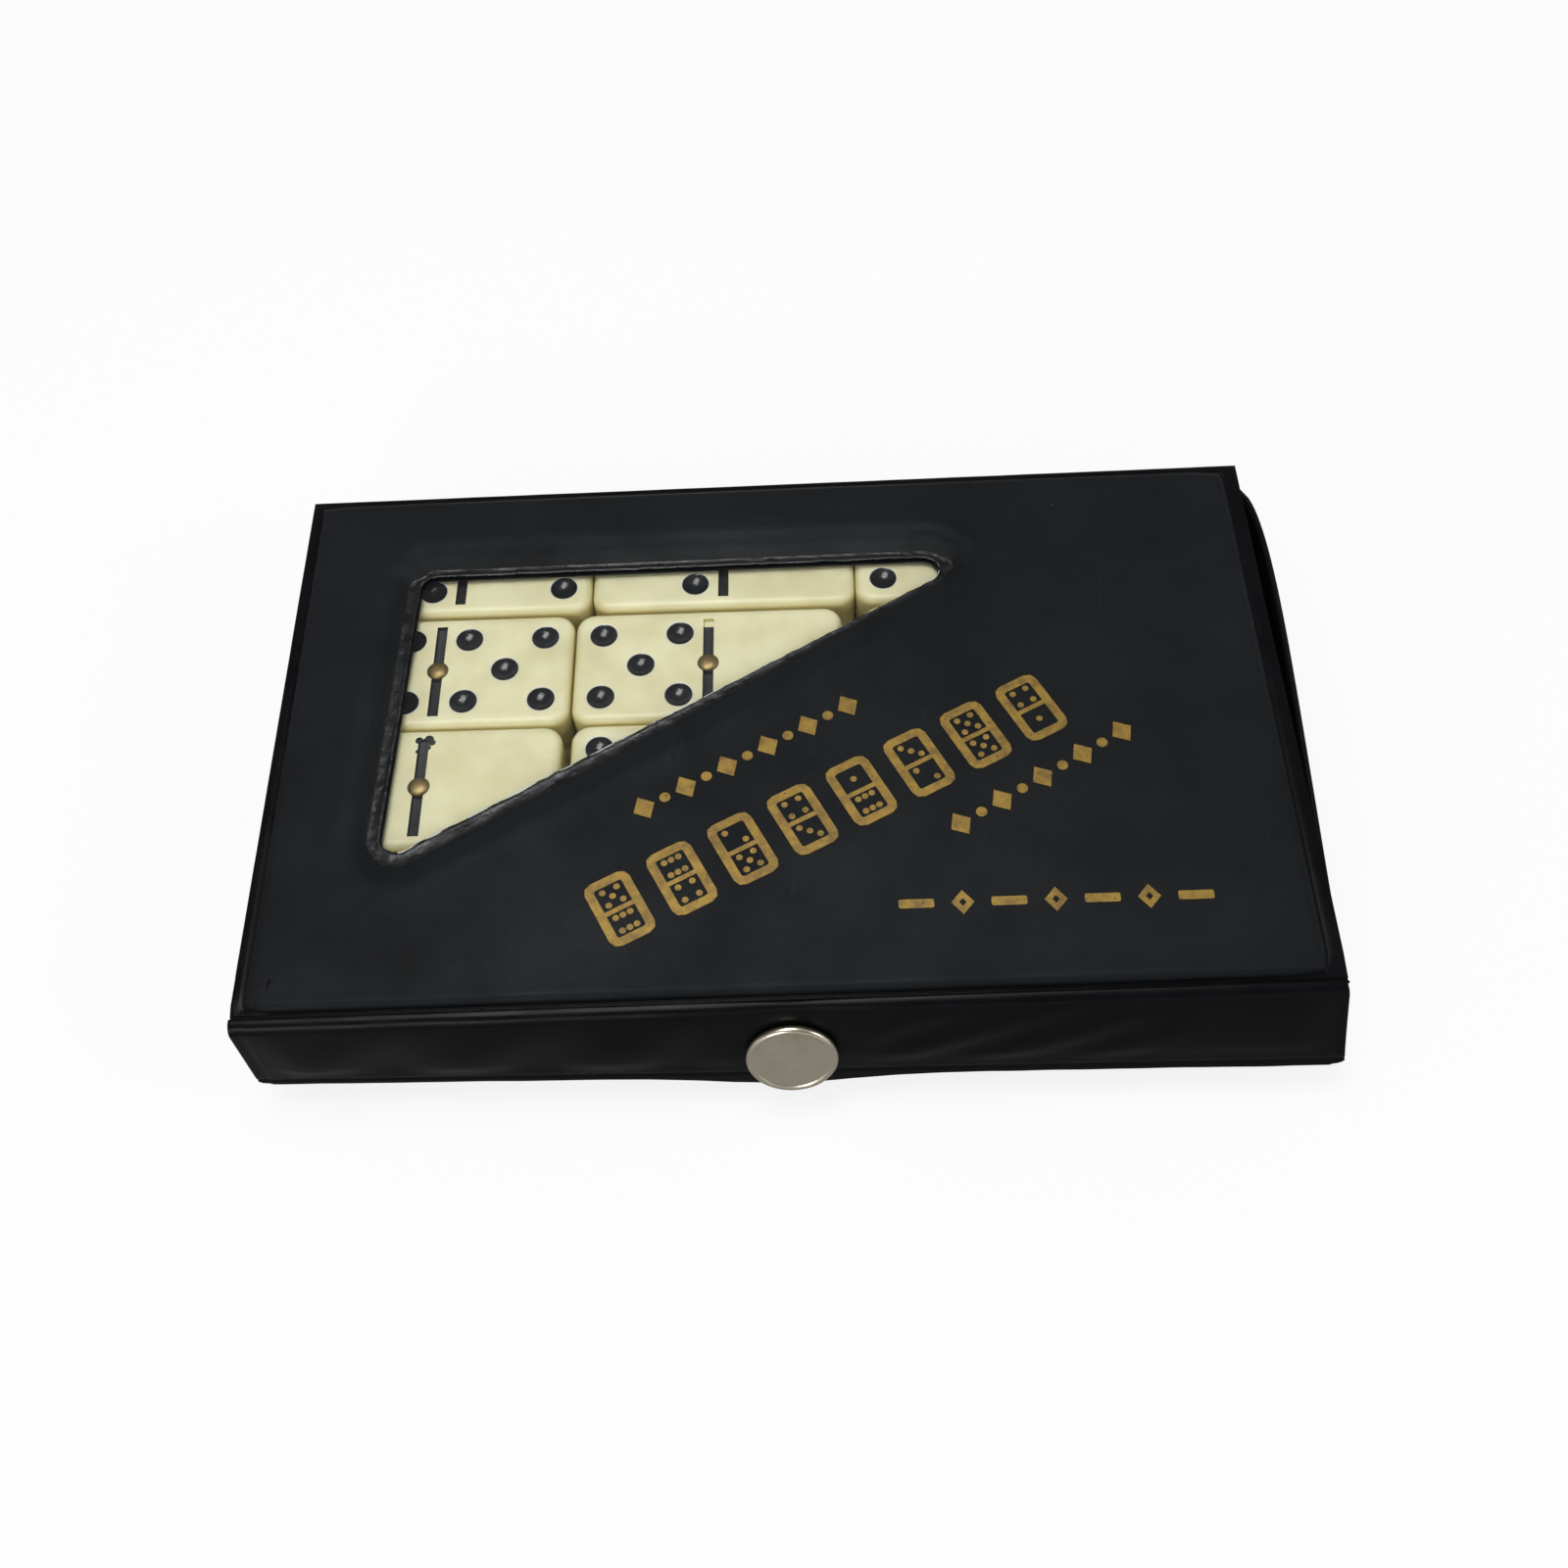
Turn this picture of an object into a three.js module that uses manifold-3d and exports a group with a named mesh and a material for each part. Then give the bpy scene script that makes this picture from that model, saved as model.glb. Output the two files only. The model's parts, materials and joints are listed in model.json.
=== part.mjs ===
// A double-six domino set in its soft vinyl case. Twenty-eight tiles lie in two layers of fourteen.
// The lid has a three-cornered window and hinges at the back, and its front flap closes with a
// press stud.
//
// Millimetres. X runs along the case, -Y is the front with the press stud, +Z is up. The origin is
// in the middle of the lid's width and depth, on the plane that the case stands on.

import * as THREE from "three";
import { mergeVertices } from "three/addons/utils/BufferGeometryUtils.js";
import Module from "manifold-3d";

const wasm = await Module();
wasm.setup();

// ---- Driving dimensions --------------------------------------------------------------------------

const GAP = 0.2;
const VINYL = 0.6;
const LINING = 0.4;

const TILE = { length: 50.8, width: 25.4, thickness: 9.5, corner: 3.6, edge: 1.1 };
const PIP = { radius: 2.6, floor: 1.4, depth: 0.9, along: 7.27, across: 7.1, sides: 6 };
const GROOVE = { width: 2.0, length: 20.6, depth: 0.9 };
const SPINNER = { head: 1.9, shank: 1.0, length: 5, proud: 0.6, pocket: 1.5, clearance: 0.3, sides: 8 };

const ROW_PITCH = 25.65;
const SECOND_ROW = { x: -12.6, y: 15.1 };
const BACK_ROW_SLACK = 0.35;
const SKEW = THREE.MathUtils.degToRad(-0.6);

const FLOOR = { left: -93, right: 93, front: -56.6, back: 57.4, corner: 4 };
const BOARD = 1.8;
const BACK_WALL = { lining: 54.6, board: 1.4, halfWidth: 90.7, top: 23.2 };

const WALL = {
  thickness: 1,
  halfWidth: 92,
  front: -56.2,
  back: 51.5,
  end: 57.2,
  top: 22.9,
  corner: 5,
  bulge: 3.3,
};
const LEAN = THREE.MathUtils.degToRad(12);

const LID = { bottom: 24, top: 27, halfWidth: 89.2, front: -54.5, back: 54.5, corner: 3 };
const LID_RIM = { left: -91.5, right: 92.3, front: -54.9, back: 56.4, corner: 1.5, bottom: 25, thickness: 0.7 };
const WINDOW = {
  left: -67,
  backLeft: -65,
  right: 28.8,
  front: -21.8,
  back: 33.3,
  radius: 3,
  weld: 3,
  slope: 5,
};

const FLAP = { left: -91.5, right: 93, thickness: 1.3, steps: 20, flatHalf: 10 };
// The flap hangs steeper at its left end and stands out further at its right end.
const FLAP_TWIST = { left: THREE.MathUtils.degToRad(-7), right: THREE.MathUtils.degToRad(6) };
const SNAP = { x: 1, capRadius: 7.8, studRadius: 3.2, hole: 2, barrel: 1.5, drop: 10.5, sides: 14 };

// The stack of layers, from the table up.
const boardZ = VINYL + GAP;
const floorZ = boardZ + BOARD + GAP;
const lowerTilesZ = floorZ + LINING + GAP;
const upperTilesZ = lowerTilesZ + TILE.thickness + SPINNER.proud + 0.1;
const wallZ = VINYL + GAP;

// ---- Finishes ------------------------------------------------------------------------------------

const finish = (color, roughness, metalness = 0) =>
  new THREE.MeshStandardMaterial({ color, roughness, metalness });

const grainedVinyl = finish("#1b1c1f", 0.62);
const glossVinyl = finish("#101114", 0.32);
const liningVinyl = finish("#232427", 0.55);
const clearFilm = new THREE.MeshStandardMaterial({
  color: "#dfe3e4",
  roughness: 0.08,
  transparent: true,
  opacity: 0.25,
});
const cardboard = finish("#9a8f7d", 0.9);
const creamUrea = finish("#e6dcc0", 0.28);
const brass = finish("#c39a4a", 0.3, 1);
const nickel = finish("#b9b4aa", 0.28, 1);

// ---- Helpers -------------------------------------------------------------------------------------

/** Turns a closed geometry into a solid that can be cut and joined. */
function solid(geometry) {
  const bare = geometry.clone();
  bare.deleteAttribute("normal");
  bare.deleteAttribute("uv");
  const merged = mergeVertices(bare, 1e-4);
  const mesh = new wasm.Mesh({
    numProp: 3,
    vertProperties: new Float32Array(merged.attributes.position.array),
    triVerts: new Uint32Array(merged.index.array),
  });
  return new wasm.Manifold(mesh);
}

/** Turns a solid back into a geometry. */
function geometryOf(body) {
  const mesh = body.getMesh();
  const geometry = new THREE.BufferGeometry();
  geometry.setAttribute("position", new THREE.BufferAttribute(mesh.vertProperties, 3));
  geometry.setIndex(new THREE.BufferAttribute(mesh.triVerts, 1));
  geometry.computeVertexNormals();
  return geometry;
}

/** A rectangle with round corners, from its four sides. */
function roundedRectangle({ left, right, front, back, corner }) {
  const shape = new THREE.Shape();
  shape.moveTo(left + corner, front);
  shape.absarc(right - corner, front + corner, corner, -Math.PI / 2, 0);
  shape.absarc(right - corner, back - corner, corner, 0, Math.PI / 2);
  shape.absarc(left + corner, back - corner, corner, Math.PI / 2, Math.PI);
  shape.absarc(left + corner, front + corner, corner, Math.PI, Math.PI * 1.5);
  return shape;
}

/** A flat plate of a shape, between two heights. */
function plate(shape, bottom, top) {
  const geometry = new THREE.ExtrudeGeometry(shape, {
    depth: top - bottom,
    bevelEnabled: false,
    curveSegments: 3,
  });
  geometry.translate(0, 0, bottom);
  return geometry;
}

/** A closed skin over rings of points that have one count, from the lowest ring to the highest. */
function loft(rings) {
  const count = rings[0].length;
  const positions = rings.flat().flatMap((point) => [point.x, point.y, point.z]);
  const index = [];
  for (let level = 0; level < rings.length - 1; level += 1) {
    for (let i = 0; i < count; i += 1) {
      const a = level * count + i;
      const b = level * count + ((i + 1) % count);
      index.push(a, b, b + count, a, b + count, a + count);
    }
  }
  const faces = THREE.ShapeUtils.triangulateShape(rings[0], []);
  const last = (rings.length - 1) * count;
  for (const [a, b, c] of faces) {
    index.push(a, c, b, last + a, last + b, last + c);
  }
  const geometry = new THREE.BufferGeometry();
  geometry.setAttribute("position", new THREE.Float32BufferAttribute(positions, 3));
  geometry.setIndex(index);
  return geometry;
}

/** A turned body about Z, from a profile of [radius, height] pairs listed upwards. */
function turned(profile, sides) {
  const points = profile.map(([radius, height]) => new THREE.Vector2(radius, height));
  const geometry = new THREE.LatheGeometry(points, sides);
  geometry.rotateX(Math.PI / 2);
  return geometry;
}

/** A named mesh of one sub-part. */
function part(name, geometry, material) {
  const mesh = new THREE.Mesh(geometry, material);
  mesh.name = name;
  return mesh;
}

// ---- Tiles ---------------------------------------------------------------------------------------

// Where a half's pips sit, in steps along and across the tile.
const CORNERS = [[-1, 1], [1, -1], [-1, -1], [1, 1]];
const PIP_SPOTS = [
  [],
  [[0, 0]],
  CORNERS.slice(0, 2),
  [[0, 0], ...CORNERS.slice(0, 2)],
  CORNERS,
  [[0, 0], ...CORNERS],
  [[0, 1], [0, -1], ...CORNERS],
];

/** The blank tile: a slab with round corners and softened edges, standing on z = 0. */
function tileBlank() {
  const outline = roundedRectangle({
    left: -TILE.length / 2 + TILE.edge,
    right: TILE.length / 2 - TILE.edge,
    front: -TILE.width / 2 + TILE.edge,
    back: TILE.width / 2 - TILE.edge,
    corner: TILE.corner - TILE.edge,
  });
  const geometry = new THREE.ExtrudeGeometry(outline, {
    depth: TILE.thickness - 2 * TILE.edge,
    bevelThickness: TILE.edge,
    bevelSize: TILE.edge,
    bevelSegments: 1,
    curveSegments: 2,
  });
  geometry.translate(0, 0, TILE.edge);
  return solid(geometry);
}

/** The cutter of one pip, a shallow dish open at the face. */
function pipCutter(x, y) {
  const above = 0.2;
  const slope = (PIP.radius - PIP.floor) / PIP.depth;
  const ring = (radius, z) =>
    Array.from({ length: PIP.sides }, (_, i) => {
      const angle = (i / PIP.sides) * Math.PI * 2;
      return new THREE.Vector3(x + radius * Math.cos(angle), y + radius * Math.sin(angle), z);
    });
  return solid(
    loft([
      ring(PIP.floor, TILE.thickness - PIP.depth),
      ring(PIP.radius + slope * above, TILE.thickness + above),
    ]),
  );
}

/** The groove across the middle, and the stepped pocket of the pin in it. */
function middleCutter(withPocket) {
  const above = 0.2;
  const depth = GROOVE.depth + above;
  const groove = new THREE.BoxGeometry(GROOVE.width, GROOVE.length, depth);
  groove.translate(0, 0, TILE.thickness - GROOVE.depth + depth / 2);
  if (!withPocket) {
    return solid(groove);
  }
  const pocket = turned(
    [
      [0, -SPINNER.length - SPINNER.clearance],
      [SPINNER.shank + SPINNER.clearance, -SPINNER.length - SPINNER.clearance],
      [SPINNER.shank + SPINNER.clearance, -SPINNER.pocket],
      [SPINNER.head + SPINNER.clearance, -SPINNER.pocket],
      [SPINNER.head + SPINNER.clearance, above],
      [0, above],
    ],
    SPINNER.sides,
  );
  pocket.translate(0, 0, TILE.thickness);
  return solid(groove).add(solid(pocket));
}

/** The brass pin: a domed head and a shank, with z = 0 at the tile's face. */
function spinnerGeometry() {
  const seat = -SPINNER.pocket + SPINNER.clearance;
  return turned(
    [
      [0, -SPINNER.length],
      [SPINNER.shank, -SPINNER.length],
      [SPINNER.shank, seat],
      [SPINNER.head, seat],
      [SPINNER.head, SPINNER.proud * 0.25],
      [SPINNER.head * 0.6, SPINNER.proud * 0.85],
      [0, SPINNER.proud],
    ],
    SPINNER.sides,
  );
}

const blank = tileBlank();
const middleWithPocket = middleCutter(true);
const middlePlain = middleCutter(false);

/** The pin's head as it stands in a tile whose pin isn't a piece of its own. */
function fixedPinHead() {
  const head = turned(
    [
      [0, -GROOVE.depth - 0.4],
      [SPINNER.head, -GROOVE.depth - 0.4],
      [SPINNER.head, SPINNER.proud * 0.25],
      [SPINNER.head * 0.6, SPINNER.proud * 0.85],
      [0, SPINNER.proud],
    ],
    SPINNER.sides,
  );
  head.translate(0, 0, TILE.thickness);
  return solid(head);
}

/** One tile, with its two counts of pips, its groove, and the seat or the head of its pin. */
function tileGeometry(left, right, pinIsSeparate) {
  let body = blank.subtract(pinIsSeparate ? middleWithPocket : middlePlain);
  for (const [count, side] of [[left, -1], [right, 1]]) {
    const middle = (side * TILE.length) / 4;
    for (const [along, across] of PIP_SPOTS[count]) {
      body = body.subtract(pipCutter(middle + along * PIP.along, across * PIP.across));
    }
  }
  return geometryOf(pinIsSeparate ? body : body.add(fixedPinHead()));
}

// The upper layer. Rows run from the back to the front, x is a tile's middle, and the last two
// tiles are turned and fill the right-hand end.
const UPPER_ROWS = [
  [{ pips: [3, 2], x: -60.6 }, { pips: [2, 1], x: -9.6 }, { pips: [4, 6], x: 41.3 }],
  [{ pips: [5, 5], x: -63.7 }, { pips: [5, 0], x: -12.6 }, { pips: [6, 2], x: 42.1 }],
  [{ pips: [0, 0], x: -64.9 }, { pips: [4, 1], x: -12.5 }, { pips: [3, 3], x: 38.7 }],
  [{ pips: [6, 6], x: -64.1 }, { pips: [2, 0], x: -12.9 }, { pips: [5, 3], x: 38.2 }],
];
const UPPER_END = [
  { pips: [4, 4], x: 80.45, y: 26.6 },
  { pips: [1, 0], x: 77.6, y: -24.3 },
];

/** The fourteen places of the upper layer. Its rows lie a little askew, and its ends aren't flush. */
function upperPlaces() {
  const places = UPPER_ROWS.flatMap((row, number) => {
    const slack = number === 0 ? BACK_ROW_SLACK : 0;
    const y = SECOND_ROW.y + (1 - number) * ROW_PITCH + slack;
    return row.map(({ pips, x }) => ({ pips, x, y: y + Math.tan(SKEW) * (x - SECOND_ROW.x), turn: SKEW }));
  });
  const ends = UPPER_END.map((place) => ({ ...place, turn: Math.PI / 2 }));
  return [...places, ...ends];
}

/** The fourteen places of the lower layer, which take the pip pairs that the upper one leaves. */
function lowerPlaces(upper) {
  const used = new Set(upper.map(({ pips }) => [...pips].sort().join()));
  const pairs = [];
  for (let low = 0; low <= 6; low += 1) {
    for (let high = low; high <= 6; high += 1) {
      if (!used.has([low, high].join())) {
        pairs.push([high, low]);
      }
    }
  }
  const pitch = TILE.length + 0.3;
  const rows = [0, 1, 2, 3].map((row) => SECOND_ROW.y + (1 - row) * ROW_PITCH);
  return pairs.map((pips, number) => {
    const place = { pips, x: -64.2 + (number % 3) * pitch, y: rows[Math.floor(number / 3)], turn: 0 };
    if (number >= 12) {
      const endRow = (number - 12) * 2;
      place.x = -64.2 + 2.5 * pitch + TILE.width / 2;
      place.y = (rows[endRow] + rows[endRow + 1]) / 2;
      place.turn = Math.PI / 2;
    }
    return place;
  });
}

/** All twenty-eight tiles, and the pins of the upper fourteen. */
function dominoes() {
  const group = new THREE.Group();
  const upper = upperPlaces();
  const pin = spinnerGeometry();
  const add = ({ pips: [left, right], x, y, turn }, z, pinIsSeparate) => {
    const seat = new THREE.Group();
    seat.position.set(x, y, z);
    seat.rotation.z = turn;
    seat.add(part(`tile_${left}_${right}`, tileGeometry(left, right, pinIsSeparate), creamUrea));
    if (pinIsSeparate) {
      const head = part(`spinner_${left}_${right}`, pin, brass);
      head.position.z = TILE.thickness;
      seat.add(head);
    }
    group.add(seat);
  };
  upper.forEach((place) => add(place, upperTilesZ, true));
  lowerPlaces(upper).forEach((place) => add(place, lowerTilesZ, false));
  return group;
}

// ---- The base ------------------------------------------------------------------------------------

/** How far the front of the side wall stands out at a height, on its outer face. */
const wallFrontAt = (z) => WALL.front + (z - wallZ) * Math.tan(LEAN);

/** One level of the U-shaped side wall, as points from its left end round the front to its right. */
function wallLine(z, fullness, inset) {
  const left = -WALL.halfWidth - 0.4 * fullness + inset;
  const right = WALL.halfWidth + 0.7 * fullness - inset;
  const front = wallFrontAt(z) + inset / Math.cos(LEAN);
  const corner = WALL.corner - inset;
  const at = (x, y) => new THREE.Vector3(x, y, z);
  const points = [at(left, WALL.end)];
  const steps = 4;
  for (const [cx, start] of [[left + corner, Math.PI], [right - corner, Math.PI * 1.5]]) {
    for (let i = 0; i <= steps; i += 1) {
      const angle = start + (i / steps) * (Math.PI / 2);
      points.push(at(cx + corner * Math.cos(angle), front + corner + corner * Math.sin(angle)));
    }
  }
  const foot = front + corner;
  const bulgeSteps = 12;
  for (let i = 1; i <= bulgeSteps; i += 1) {
    const share = (1 - i / bulgeSteps) ** 2;
    const y = WALL.back - share * (WALL.back - foot);
    const swell = WALL.bulge * fullness * Math.sin(Math.PI * share ** 0.45);
    points.push(at(right + swell, y));
  }
  points.push(at(right, WALL.end));
  return points;
}

/** The side wall: one strip of vinyl round the left side, the front and the right side. */
function sideWall() {
  const levels = [
    [wallZ, 0],
    [7, 0.75],
    [13.4, 1],
    [WALL.top, 1],
  ];
  const outer = levels.map(([z, fullness]) => wallLine(z, fullness, 0));
  const inner = levels.map(([z, fullness]) => wallLine(z, fullness, WALL.thickness)).reverse();
  const lines = [...outer, ...inner];
  const sections = outer[0].map((_, i) => lines.map((line) => line[i]));
  return sections;
}

/** A skin over cross-sections that follow one another along a strip, closed at its two ends. */
function strip(sections) {
  const count = sections[0].length;
  const positions = sections.flat().flatMap((point) => [point.x, point.y, point.z]);
  const index = [];
  for (let s = 0; s < sections.length - 1; s += 1) {
    for (let i = 0; i < count; i += 1) {
      const a = s * count + i;
      const b = s * count + ((i + 1) % count);
      index.push(a, a + count, b + count, a, b + count, b);
    }
  }
  const last = (sections.length - 1) * count;
  for (let i = 0; i < count / 2 - 1; i += 1) {
    const quad = [i, i + 1, count - 2 - i, count - 1 - i];
    index.push(quad[0], quad[1], quad[2], quad[0], quad[2], quad[3]);
    index.push(last + quad[0], last + quad[2], last + quad[1]);
    index.push(last + quad[0], last + quad[3], last + quad[2]);
  }
  const geometry = new THREE.BufferGeometry();
  geometry.setAttribute("position", new THREE.Float32BufferAttribute(positions, 3));
  geometry.setIndex(index);
  return geometry;
}

/** The bottom, the side wall and the back of the case. */
function base() {
  const group = new THREE.Group();
  const floor = roundedRectangle(FLOOR);
  group.add(part("bottom_skin", plate(floor, 0, VINYL), grainedVinyl));

  const inside = { left: -90.2, right: 90.2, front: -54.2, back: 54.2, corner: 4 };
  group.add(part("bottom_board", plate(roundedRectangle(inside), boardZ, boardZ + BOARD), cardboard));
  group.add(part("floor_lining", plate(roundedRectangle(inside), floorZ, floorZ + LINING), liningVinyl));

  const wall = solid(strip(sideWall())).subtract(snapHole(WALL.thickness * 4, snapDepths.wall));
  group.add(part("side_wall", geometryOf(wall), glossVinyl));

  const upright = (name, width, front, thickness, bottom, material) => {
    const geometry = new THREE.BoxGeometry(width, thickness, BACK_WALL.top - bottom);
    geometry.translate(0, front + thickness / 2, (BACK_WALL.top + bottom) / 2);
    group.add(part(name, geometry, material));
  };
  const board = BACK_WALL.lining + LINING + GAP;
  const skin = board + BACK_WALL.board + GAP;
  upright("back_lining", 2 * BACK_WALL.halfWidth - 3, BACK_WALL.lining, LINING, lowerTilesZ, liningVinyl);
  upright("back_board", 2 * BACK_WALL.halfWidth - 4, board, BACK_WALL.board, boardZ, cardboard);
  upright("back_skin", 2 * BACK_WALL.halfWidth, skin, VINYL, boardZ, grainedVinyl);
  return group;
}

// ---- The lid -------------------------------------------------------------------------------------

/** The window's outline grown by a distance: a nearly right-angled triangle with round corners. */
function windowRing(grow, z) {
  const corners = [
    [WINDOW.left, WINDOW.front],
    [WINDOW.right, WINDOW.back],
    [WINDOW.backLeft, WINDOW.back],
  ];
  const slope = Math.atan2(WINDOW.back - WINDOW.front, WINDOW.right - WINDOW.left);
  const tilt = Math.atan2(WINDOW.backLeft - WINDOW.left, WINDOW.back - WINDOW.front);
  const turns = [
    [Math.PI - tilt, Math.PI * 1.5 + slope],
    [-Math.PI / 2 + slope, Math.PI / 2],
    [Math.PI / 2, Math.PI - tilt],
  ];
  const radius = WINDOW.radius + grow;
  const steps = 4;
  return corners.flatMap(([x, y], corner) => {
    const [from, to] = turns[corner];
    return Array.from({ length: steps + 1 }, (_, i) => {
      const angle = from + (i / steps) * (to - from);
      return new THREE.Vector3(x + radius * Math.cos(angle), y + radius * Math.sin(angle), z);
    });
  });
}

/** A prism of the window's outline grown by a distance. */
const windowPrism = (grow, bottom, top) => solid(loft([windowRing(grow, bottom), windowRing(grow, top)]));

/** The lid's panel outline, drawn in from the weld seam by a distance. */
const panelOutline = (inset) =>
  roundedRectangle({
    left: -LID.halfWidth + inset,
    right: LID.halfWidth - inset,
    front: LID.front + inset,
    back: LID.back - inset,
    corner: LID.corner,
  });

/** The vinyl over the lid: it hangs down at its edge, and dips to the weld round the window. */
function lidSkin() {
  const { weld, slope } = WINDOW;
  const weldTop = LID_RIM.bottom + VINYL;
  const above = 0.5;
  const panel = solid(plate(panelOutline(0), LID_RIM.bottom, LID.top));
  const dip = solid(
    loft([
      windowRing(weld, weldTop),
      windowRing(weld + slope, LID.top),
      windowRing(weld + slope, LID.top + above),
    ]),
  );
  const opening = windowPrism(0, LID.bottom, LID.top);
  const funnel = solid(
    loft([
      windowRing(weld + VINYL, LID.bottom),
      windowRing(weld + VINYL, LID_RIM.bottom),
      windowRing(weld + slope + VINYL, LID.top),
    ]),
  );
  const cavity = solid(plate(panelOutline(VINYL), LID.bottom, LID.top - VINYL)).subtract(funnel);
  const rim = solid(plate(roundedRectangle(LID_RIM), LID_RIM.bottom, LID_RIM.bottom + LID_RIM.thickness))
    .subtract(solid(plate(panelOutline(VINYL / 2), LID.bottom, LID.top)));
  return geometryOf(panel.subtract(cavity).subtract(dip).subtract(opening).add(rim));
}

/** The lid: its skin, its stiffening board, its clear film and its lining. */
function lid() {
  const group = new THREE.Group();
  const { weld, slope } = WINDOW;
  group.add(part("lid_skin", lidSkin(), grainedVinyl));

  const boardBottom = LID_RIM.bottom;
  const boardTop = LID.top - VINYL - GAP;
  const board = solid(plate(panelOutline(VINYL + GAP), boardBottom, boardTop))
    .subtract(windowPrism(weld + slope + VINYL + GAP, LID.bottom, LID.top));
  group.add(part("lid_board", geometryOf(board), cardboard));

  const film = loft([windowRing(weld + 2, LID.bottom + 0.55), windowRing(weld + 2, LID.bottom + 0.8)]);
  group.add(part("window_film", film, clearFilm));

  const lining = solid(plate(panelOutline(-1), LID.bottom, LID.bottom + LINING))
    .subtract(windowPrism(0, LID.bottom - 1, LID.top));
  group.add(part("lid_lining", geometryOf(lining), liningVinyl));
  return group;
}

// ---- The flap and the press stud -----------------------------------------------------------------

// The flap's outer face in the YZ plane, from the fold at the lid down to its lower edge.
const FLAP_FACE = [
  [-56, 26.3],
  [-56.9, 26.2],
  [-57.6, 25.6],
  [-58, 24.6],
];
const FLAP_LENGTH = 17.6;

/** The flap's line in the YZ plane, set in from its outer face. */
function flapLine(depth) {
  const [y, z] = FLAP_FACE[FLAP_FACE.length - 1];
  const end = [y - FLAP_LENGTH * Math.sin(LEAN), z - FLAP_LENGTH * Math.cos(LEAN)];
  const line = [...FLAP_FACE, end].map((point) => new THREE.Vector2(...point));
  return line.map((point, i) => {
    const before = line[Math.max(i - 1, 0)];
    const after = line[Math.min(i + 1, line.length - 1)];
    const along = after.clone().sub(before).normalize();
    const inwards = new THREE.Vector2(-along.y, along.x);
    return point.clone().addScaledVector(inwards, depth);
  });
}

/** How much further out than at the press stud the flap leans, at a place along it. */
function flapTwist(x) {
  const { left, right, flatHalf } = FLAP;
  const fromStud = x - SNAP.x;
  if (Math.abs(fromStud) <= flatHalf) {
    return 0;
  }
  return fromStud < 0
    ? (FLAP_TWIST.left * (SNAP.x - flatHalf - x)) / (SNAP.x - flatHalf - left)
    : (FLAP_TWIST.right * (x - SNAP.x - flatHalf)) / (right - SNAP.x - flatHalf);
}

/** One ply of the flap, between two depths under its outer face. */
function flapPly(from, to) {
  const outline = new THREE.Shape([...flapLine(from), ...flapLine(to).reverse()]);
  const geometry = new THREE.ExtrudeGeometry(outline, {
    depth: FLAP.right - FLAP.left,
    steps: FLAP.steps,
    bevelEnabled: false,
  });
  geometry.rotateX(Math.PI / 2);
  geometry.rotateZ(Math.PI / 2);
  geometry.translate(FLAP.left, 0, 0);

  // Below the fold, the ply turns about the fold's lower edge.
  const [foldY, foldZ] = FLAP_FACE[FLAP_FACE.length - 1];
  const positions = geometry.attributes.position;
  for (let i = 0; i < positions.count; i += 1) {
    const down = foldZ - positions.getZ(i);
    if (down > FLAP.thickness) {
      const twist = flapTwist(positions.getX(i));
      const out = positions.getY(i) - foldY;
      positions.setY(i, foldY + out * Math.cos(twist) - down * Math.sin(twist));
      positions.setZ(i, foldZ - down * Math.cos(twist) - out * Math.sin(twist));
    }
  }
  return solid(geometry);
}

/** The press stud's place: its axis stands square on the flap's face. */
function snapFrame() {
  const [y, z] = FLAP_FACE[FLAP_FACE.length - 1];
  const frame = new THREE.Group();
  frame.position.set(SNAP.x, y - SNAP.drop * Math.sin(LEAN), z - SNAP.drop * Math.cos(LEAN));
  frame.rotation.x = Math.PI / 2 - LEAN;
  frame.updateMatrixWorld();
  return frame;
}

// Depths along the press stud's axis, below the flap's outer face.
const wallDepth = (() => {
  const { position } = snapFrame();
  const wall = wallFrontAt(position.z);
  return (wall - position.y) * Math.cos(LEAN);
})();
const snapDepths = { flap: -FLAP.thickness, wall: -wallDepth };

/** A drill through the flap or the side wall, on the press stud's axis. */
function snapHole(length, depth) {
  const drill = new THREE.CylinderGeometry(SNAP.hole, SNAP.hole, length, SNAP.sides);
  drill.rotateX(Math.PI / 2);
  drill.translate(0, 0, depth);
  drill.applyMatrix4(snapFrame().matrixWorld);
  return solid(drill);
}

/** The flap's two plies, the cap outside and the socket inside. */
function flap() {
  const group = new THREE.Group();
  const drill = snapHole(6, 0);
  const plies = [
    ["flap_skin", 0, VINYL, glossVinyl],
    ["flap_lining", VINYL + GAP, FLAP.thickness, liningVinyl],
  ];
  for (const [name, from, to, material] of plies) {
    group.add(part(name, geometryOf(flapPly(from, to).subtract(drill)), material));
  }

  const frame = snapFrame();
  const face = GAP;
  const cap = turned(
    [
      [0, snapDepths.flap - 0.5],
      [SNAP.barrel, snapDepths.flap - 0.5],
      [SNAP.barrel, face],
      [SNAP.capRadius - 0.4, face],
      [SNAP.capRadius, face + 0.7],
      [SNAP.capRadius - 0.5, face + 1.7],
      [SNAP.capRadius - 1.5, face + 1.5],
      [3, face + 1.9],
      [0, face + 2],
    ],
    SNAP.sides,
  );
  frame.add(part("snap_cap", cap, nickel));

  const top = snapDepths.flap - GAP;
  const bore = SNAP.studRadius + 0.45;
  const socket = turned(
    [
      [bore, top - 2.4],
      [bore + 0.7, top - 2.4],
      [bore + 0.9, top - 0.7],
      [6, top - 0.6],
      [6, top],
      [SNAP.barrel + 0.3, top],
      [SNAP.barrel + 0.3, top - 0.6],
      [bore, top - 0.8],
      [bore, top - 2.4],
    ],
    SNAP.sides,
  );
  frame.add(part("snap_socket", socket, nickel));
  group.add(frame);
  return group;
}

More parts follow.
